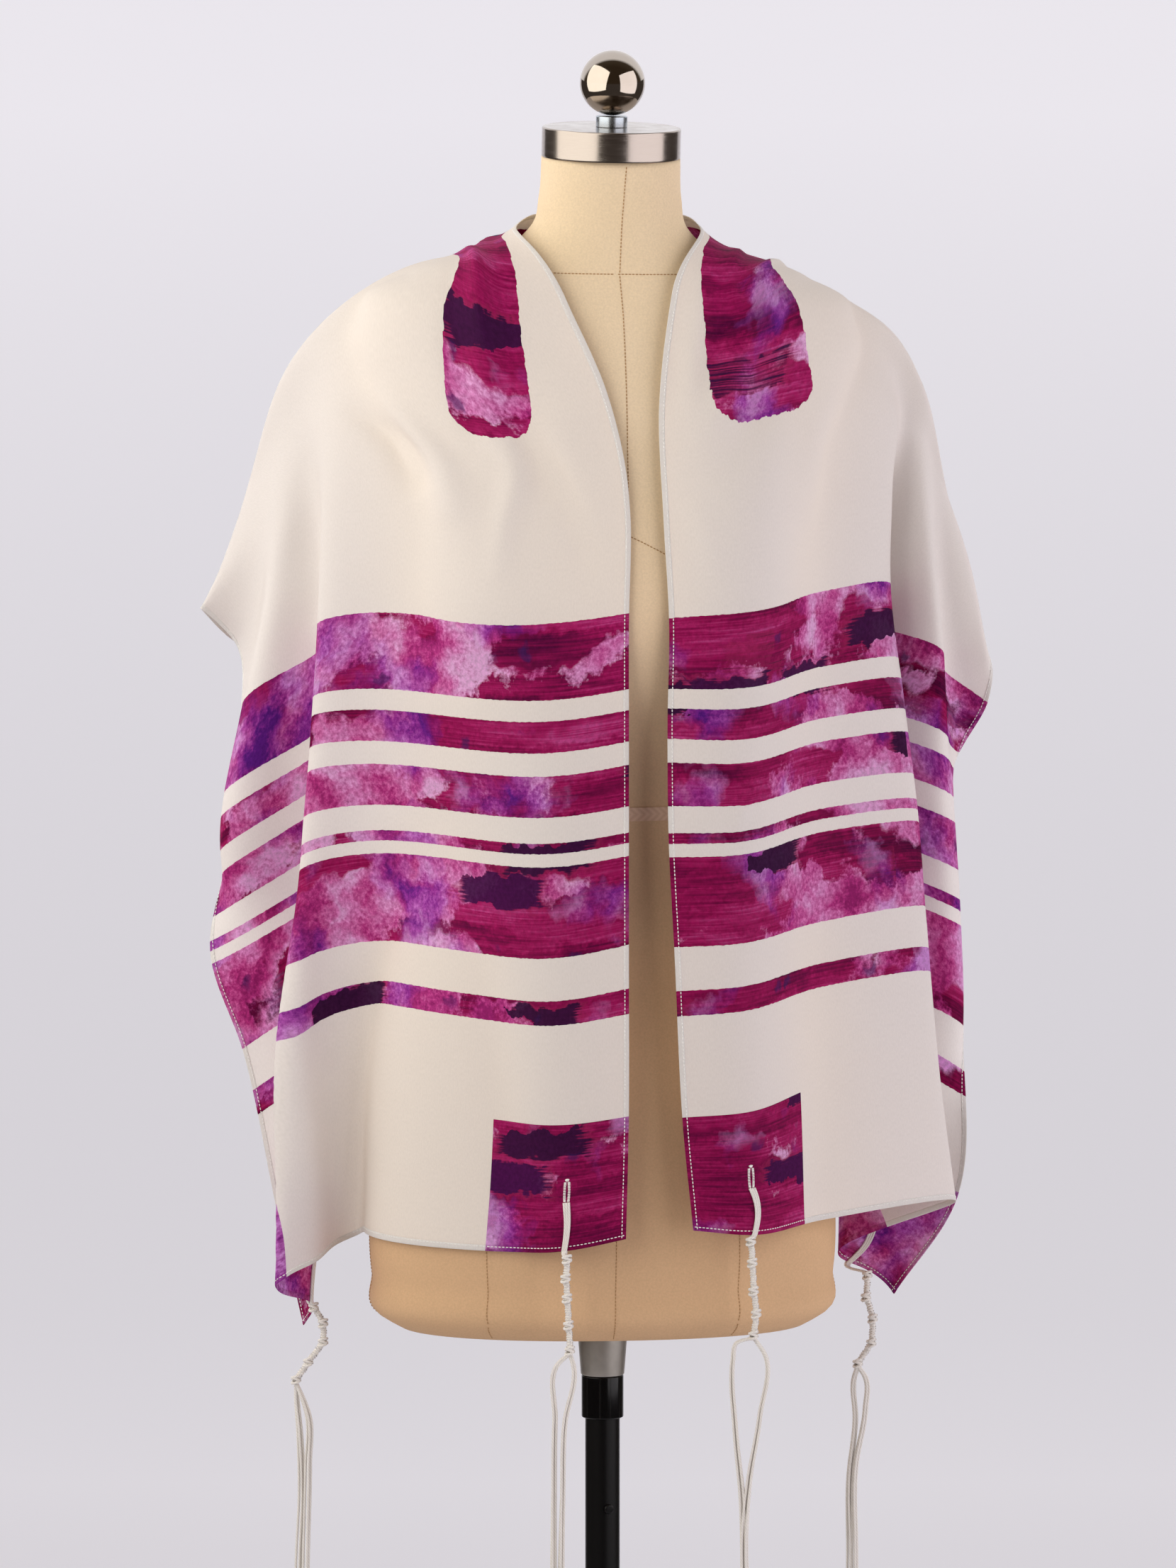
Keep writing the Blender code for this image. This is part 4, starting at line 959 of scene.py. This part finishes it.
def silk_material(name, over_form, off_form):
    """Silk crepe: dull, of fine pebbled yarn, with light through it. Its colour warms where
    the form is close behind it, a painted show-through of the form."""
    made, shader = material(name)
    # Painted show-through: the cloth's colour warms where the form lies close behind it.
    warm = node(shader, "Attribute", attribute_name="painted_show_through").outputs["Fac"]
    plain = blended(shader, warm, linear(off_form), linear(over_form))
    colour = printed_silk(shader, plain)
    uv = node(shader, "TexCoord").outputs["UV"]
    crepe = drawn_noise(shader, uv, 900, 2, stretch=(0.45, 1, 1))
    yarn = ranged(shader, crepe, (0.3, 0.7), (0.965, 1.02))
    colour = blended(shader, 1.0, colour, yarn, "MULTIPLY")
    bump = node(shader, "Bump", {"Height": crepe, "Strength": 0.4, "Distance": 0.35 * MM})
    link(shader, {"Base Color": colour, "Normal": bump, "Roughness": 0.6,
                  "Specular IOR Level": 0.06})
    through = node(shader, "BsdfTranslucent", {"Color": colour, "Normal": bump})
    share = ranged(shader, warm, (0, 1), (0.42, 0.20))
    cloth_shader = node(shader, "MixShader", {0: share, 1: shader, 2: through})
    output = shader.id_data.nodes["Material Output"]
    link(output, {"Surface": cloth_shader})
    return made


silk = silk_material("silk_crepe_printed", "#F9EFE3", "#F9F5F2")
SHOW_THROUGH_REACH = 16 * MM           # how far off the form the painted show-through of its warmth still reaches into the cloth
uv = np.stack(np.meshgrid(CLOTH_ALONG, CLOTH_ACROSS, indexing="ij"), -1)
shawl = add_mesh("shawl_silk", [grid_part(cloth, uv)], silk)
# The share of painted show-through at each point of the cloth, fading within 16 mm of the form.
near = np.exp(-np.clip(torso_distance(cloth)[0], 0, 1) / SHOW_THROUGH_REACH)
shawl.data.attributes.new("painted_show_through", "FLOAT", "POINT").data.foreach_set("value", near.ravel())
wall = shawl.modifiers.new("wall", "SOLIDIFY")
wall.thickness = CLOTH_WALL
wall.offset = 0
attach(shawl, "root")
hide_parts("shawl_panel")

# ---------------------------------------------------------------------------------------
# Hem: the cloth's four edges are turned under twice and sewn down by machine, with small
# even stitches near the hem's inner edge.
# ---------------------------------------------------------------------------------------
HEM_WALL = 0.76 * MM
SEWN_FROM_EDGE = 3.4 * MM
SHAWL_PITCH, SHAWL_STITCH, SHAWL_THREAD = 2.8 * MM, 1.9 * MM, 0.38 * MM
# round the hem's section: distance in from the edge, and height off the cloth's middle
HEM_SECTION = ((0.0, 0.0), (0.1, 0.26), (0.6, 0.38), (3.9, 0.36), (4.4, 0.26), (4.5, 0.0),
               (4.4, -0.26), (3.9, -0.36), (0.6, -0.38), (0.1, -0.26))


def edge_lines(inset):
    """(s, t) along each of the cloth's four edges, at a distance in from that edge."""
    along = np.linspace(0, SHAWL_LENGTH, 420)
    across = np.linspace(0, SHAWL_WIDTH, 200)
    return ((along, 0 * along + inset), (along, 0 * along + SHAWL_WIDTH - inset),
            (0 * across + inset, across), (0 * across + SHAWL_LENGTH - inset, across))


hem_cloth = silk_material("silk_crepe_doubled", "#FBF6EE", "#F9F7F4")
hem_parts = []
for edge in range(4):
    section = [on_cloth(*edge_lines(inset * MM)[edge], lift * MM)
               for inset, lift in HEM_SECTION]
    places = [np.stack(edge_lines(inset * MM)[edge], -1)
              for inset, _ in HEM_SECTION + HEM_SECTION[:1]]
    hem_parts.append(grid_part(np.array(section).transpose(1, 0, 2),
                               np.array(places).transpose(1, 0, 2), closed=True, caps=True))
hem = add_mesh("shawl_hem", hem_parts, hem_cloth)
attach(hem, "root")
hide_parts("shawl_panel")

sewn = []
for edge in range(4):
    line = on_cloth(*edge_lines(SEWN_FROM_EDGE)[edge], HEM_WALL / 2)
    sewn += stitch_parts(line, SHAWL_PITCH, SHAWL_STITCH, SHAWL_THREAD, 4)

# Each corner has a worked slit for its tassel: a narrow loop of close stitches that run out
# from the slit, straight along its sides and past its ends.
SLIT_FROM_EDGE, SLIT_FROM_HEM = 48 * MM, 48 * MM
SLIT_LENGTH, SLIT_WIDTH = 19 * MM, 3.2 * MM
SLIT_STITCHES, SLIT_STITCH = 46, 1.7 * MM
SLIT_END = 0.8                    # cosine of the turn beyond which a stitch is at an end
stitch_places = np.array([0.0, 0.35, 0.8, 1.0])[:, None]
stitch_lifts = np.array([0.1, 0.45, 0.4, 0.1]) * MM
CORNERS = {(half, side): (SLIT_FROM_HEM if half == "left" else SHAWL_LENGTH - SLIT_FROM_HEM,
                          SLIT_FROM_EDGE if side == "front" else SHAWL_WIDTH - SLIT_FROM_EDGE)
           for half in ("left", "right") for side in ("front", "outer")}
turn = np.linspace(0, 2 * math.pi, SLIT_STITCHES, endpoint=False)
straight = SLIT_LENGTH - SLIT_WIDTH
for s, t in CORNERS.values():
    for c, r in zip(np.cos(turn), np.sin(turn)):
        at_end = abs(c) > SLIT_END
        middle = (np.sign(c) * straight / 2 + 0.3 * SLIT_WIDTH * c if at_end
                  else straight / 1.6 * c)
        outward = np.array([c * at_end, r]) / math.hypot(c * at_end, r)
        path = np.array([middle, 0.3 * SLIT_WIDTH * r]) + stitch_places * SLIT_STITCH * outward
        line = on_cloth(s + path[:, 0], t + path[:, 1], stitch_lifts)
        sewn.append(tube_part(line, THREAD_RADIUS, 5))

# White silk thread: a soft shine that changes from stitch to stitch.
silk_thread, _, _ = clouded("silk_sewing_thread", 500, 2, ("#F2EFEA", "#FFFEFC"), (0.4, 0.6))
stitches = add_mesh("shawl_stitches", sewn, silk_thread)
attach(stitches, "root")

# ---------------------------------------------------------------------------------------
# Tassels: at each corner four long cotton cords are doubled through the slit. The eight
# strands are knotted, wound round, and knotted again, and then hang loose in two bundles.
# ---------------------------------------------------------------------------------------
STRAND_RADIUS = 1.0 * MM
LEG_SHIFTS = (-1.9, 0.0, 1.9)     # mm, of each leg's strands; a fourth is hidden under them
LEG_BOW = {"left": -1.5 * MM, "right": 4.0 * MM}    # how far a leg swings outward on its way
WOUND_RADIUS, WINDING_RADIUS, WINDING_PITCH = 1.9 * MM, 0.8 * MM, 1.9 * MM
KNOT_SIZE, KNOT_CORD, END_KNOT_SIZE = 2.9 * MM, 1.05 * MM, 0.7 * MM
SPREAD, SWAY, UNEVEN = 2.2 * MM, 0.9 * MM, 3 * MM   # of the loose strands round their route
# corner, knots (mm), and each bundle's strands and route of (x, z) with its depth (mm)
TASSELS = (
    ("left", "outer", ((-213, 6, 657), (-206, 5, 645), (-206, 5, 631), (-217, 5, 616),
                       (-226, 5, 603)),
     ((4, 5, ((-226, 600), (-222, 590), (-217.4, 576), (-217, 540), (-218.4, 465),
              (-219, 395))),
      (4, 9, ((-226, 600), (-226, 588), (-224, 565), (-222, 520), (-224, 460), (-223, 398))))),
    ("left", "front", ((-26, -139, 716), (-27, -139, 702), (-26, -138, 687), (-25, -137, 667),
                       (-24, -136, 648)),
     ((4, -136, ((-24, 646), (-32.8, 638), (-34.9, 597), (-35.4, 540), (-35.4, 484),
                 (-35.5, 440))),
      (4, -137, ((-24, 646), (-21.4, 636), (-27.6, 595), (-29.0, 540), (-29.7, 484),
                 (-30, 443))))),
    ("right", "front", ((108, -118, 726), (109, -118, 710), (110, -117, 689), (112, -116, 672),
                        (110, -115, 656)),
     ((4, -115, ((110, 654), (96.7, 649), (95.1, 638), (97.2, 586), (102.4, 534), (104, 480),
                 (104, 450))),
      (4, -116, ((110, 654), (118, 642), (114.9, 596), (107.6, 549), (104, 505),
                 (105, 455))))),
    ("right", "outer", ((196, 60, 672), (195, 58, 656), (200, 56, 640), (199, 55, 622),
                        (189, 54, 607)),
     ((4, 54, ((189, 605), (194.4, 596), (194.4, 572), (187.6, 529), (187.6, 469),
               (188, 400))),
      (4, 56, ((189, 605), (186, 595), (187, 565), (183, 520), (184, 465), (184, 404))))),
)


def smooth_path(route, step=1.2 * MM):
    """Points a step apart on a smooth curve through the route."""
    places = running_length(route)
    fine = np.linspace(0, places[-1], max(int(places[-1] / step), 4))
    return smooth_curve(places, route, fine)


def wound_path(core, radius, turns):
    """A helix round a core line, with its radius and its turns along it."""
    ahead = np.gradient(core, axis=0)
    ahead /= np.linalg.norm(ahead, axis=1, keepdims=True)
    across = np.cross(ahead, [0.0, 1.0, 0.0])
    across /= np.linalg.norm(across, axis=1, keepdims=True)
    angle = np.linspace(0, 2 * math.pi * turns, len(core))[:, None]
    return core + radius * (np.cos(angle) * across + np.sin(angle) * np.cross(ahead, across))


def knot_parts(middle, size):
    """A double knot: three flat loops of cord round a point, each tilted its own way."""
    turn = np.linspace(0, 2 * math.pi, 22)
    parts = []
    for lift, tilt, roll in ((-0.55, 0.35, 0.25), (0.0, -0.4, -0.2), (0.55, 0.3, -0.3)):
        loop = np.stack([np.cos(turn), np.sin(turn),
                         lift + tilt * np.cos(turn) + roll * np.sin(turn)], -1)
        parts.append(tube_part(middle + size * loop, KNOT_CORD, 8))
    return parts


cord, shader = material("cotton_cord_white")
# Twisted cotton cord of three plies, a turn every 7 mm: white, dull, shaded in its grooves.
place = node(shader, "SeparateXYZ", {0: node(shader, "TexCoord").outputs["UV"]})
plies = maths(shader, "MULTIPLY", place.outputs["X"], 3.0)
twist = maths(shader, "MULTIPLY_ADD", place.outputs["Y"], 3.0 / (7 * MM), plies)
groove = maths(shader, "PINGPONG", twist, 0.5)
tone = node(shader, "MapRange", {"Value": groove, "To Max": 0.35},
            interpolation_type="SMOOTHSTEP")
tone = node(shader, "ValToRGB", {0: tone}, stops=((0.0, "#E4DFD8"), (0.35, "#FBF9F6")))
bump = node(shader, "Bump", {"Height": groove, "Strength": 0.6, "Distance": 0.3 * MM})
link(shader, {"Base Color": tone, "Normal": bump, "Roughness": 0.75, "Specular IOR Level": 0.2})

for corner, (half, side, knots, bundles) in enumerate(TASSELS):
    s, t = CORNERS[half, side]
    toward = -1 if half == "left" else 1
    knots = np.array(knots) * MM
    parts = []
    # the strands from the slit over the hem to the first knot, before and behind the cloth
    drop = np.linspace(0, 1, 9)
    slit_end = 0.45 * SLIT_LENGTH
    for face in (1, -1):
        for shift in LEG_SHIFTS:
            over_s = s + toward * (slit_end + (SLIT_FROM_HEM - slit_end) * drop)
            lift = face * (HEM_WALL / 2 + STRAND_RADIUS * np.minimum(1, 0.4 + 6 * drop))
            aside = shift * MM * (1 - 0.4 * drop) + LEG_BOW[half] * np.sin(math.pi * drop)
            leg = on_cloth(np.clip(over_s, 0, SHAWL_LENGTH), t + aside, lift)
            route = np.concatenate([leg, [knots[0] + (0.3 * MM * shift, 0, 1.5 * MM)]])
            parts.append(tube_part(smooth_path(route), STRAND_RADIUS, 7))
    # wound cord between the knots
    for first, second in zip(knots, knots[1:]):
        core = smooth_path(np.array([first, (first + second) / 2 + (0.4 * MM, 0, 0), second]),
                           0.35 * MM)
        turns = np.linalg.norm(second - first) / WINDING_PITCH
        parts.append(tube_part(core, WOUND_RADIUS, 8))
        parts.append(tube_part(wound_path(core, WOUND_RADIUS, turns), WINDING_RADIUS, 7))
    for knot in knots:
        parts += knot_parts(knot, KNOT_SIZE)
    # the loose strands, each with a small knot at its end
    for count, depth, route in bundles:
        route = np.array([(x, depth, z) for x, z in route]) * MM
        route[0, 1] = knots[-1, 1]
        for k in range(count):
            angle = 2 * math.pi * k / count + corner
            around = np.array([math.cos(angle), math.sin(angle), 0])
            spread = np.linspace(0.35, 1, len(route))[:, None]
            sway = np.sin(np.linspace(0, 5, len(route)) + 2.1 * k + corner)[:, None]
            strand = route + around * (SPREAD + SWAY * sway) * spread
            strand[-1, 2] -= UNEVEN * math.sin(2.3 * k + corner)
            path = smooth_path(strand, 2.0 * MM)
            parts.append(tube_part(path, STRAND_RADIUS, 7))
            end = path[-1] + np.array([0, 0, 1.0]) * MM
            parts += knot_parts(end, END_KNOT_SIZE)[1:2]
    tassel = add_mesh(f"tassel_{half}_{side}_cords", parts, cord)
    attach(tassel, "root")
    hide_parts(f"tassel_{half}_{side}")
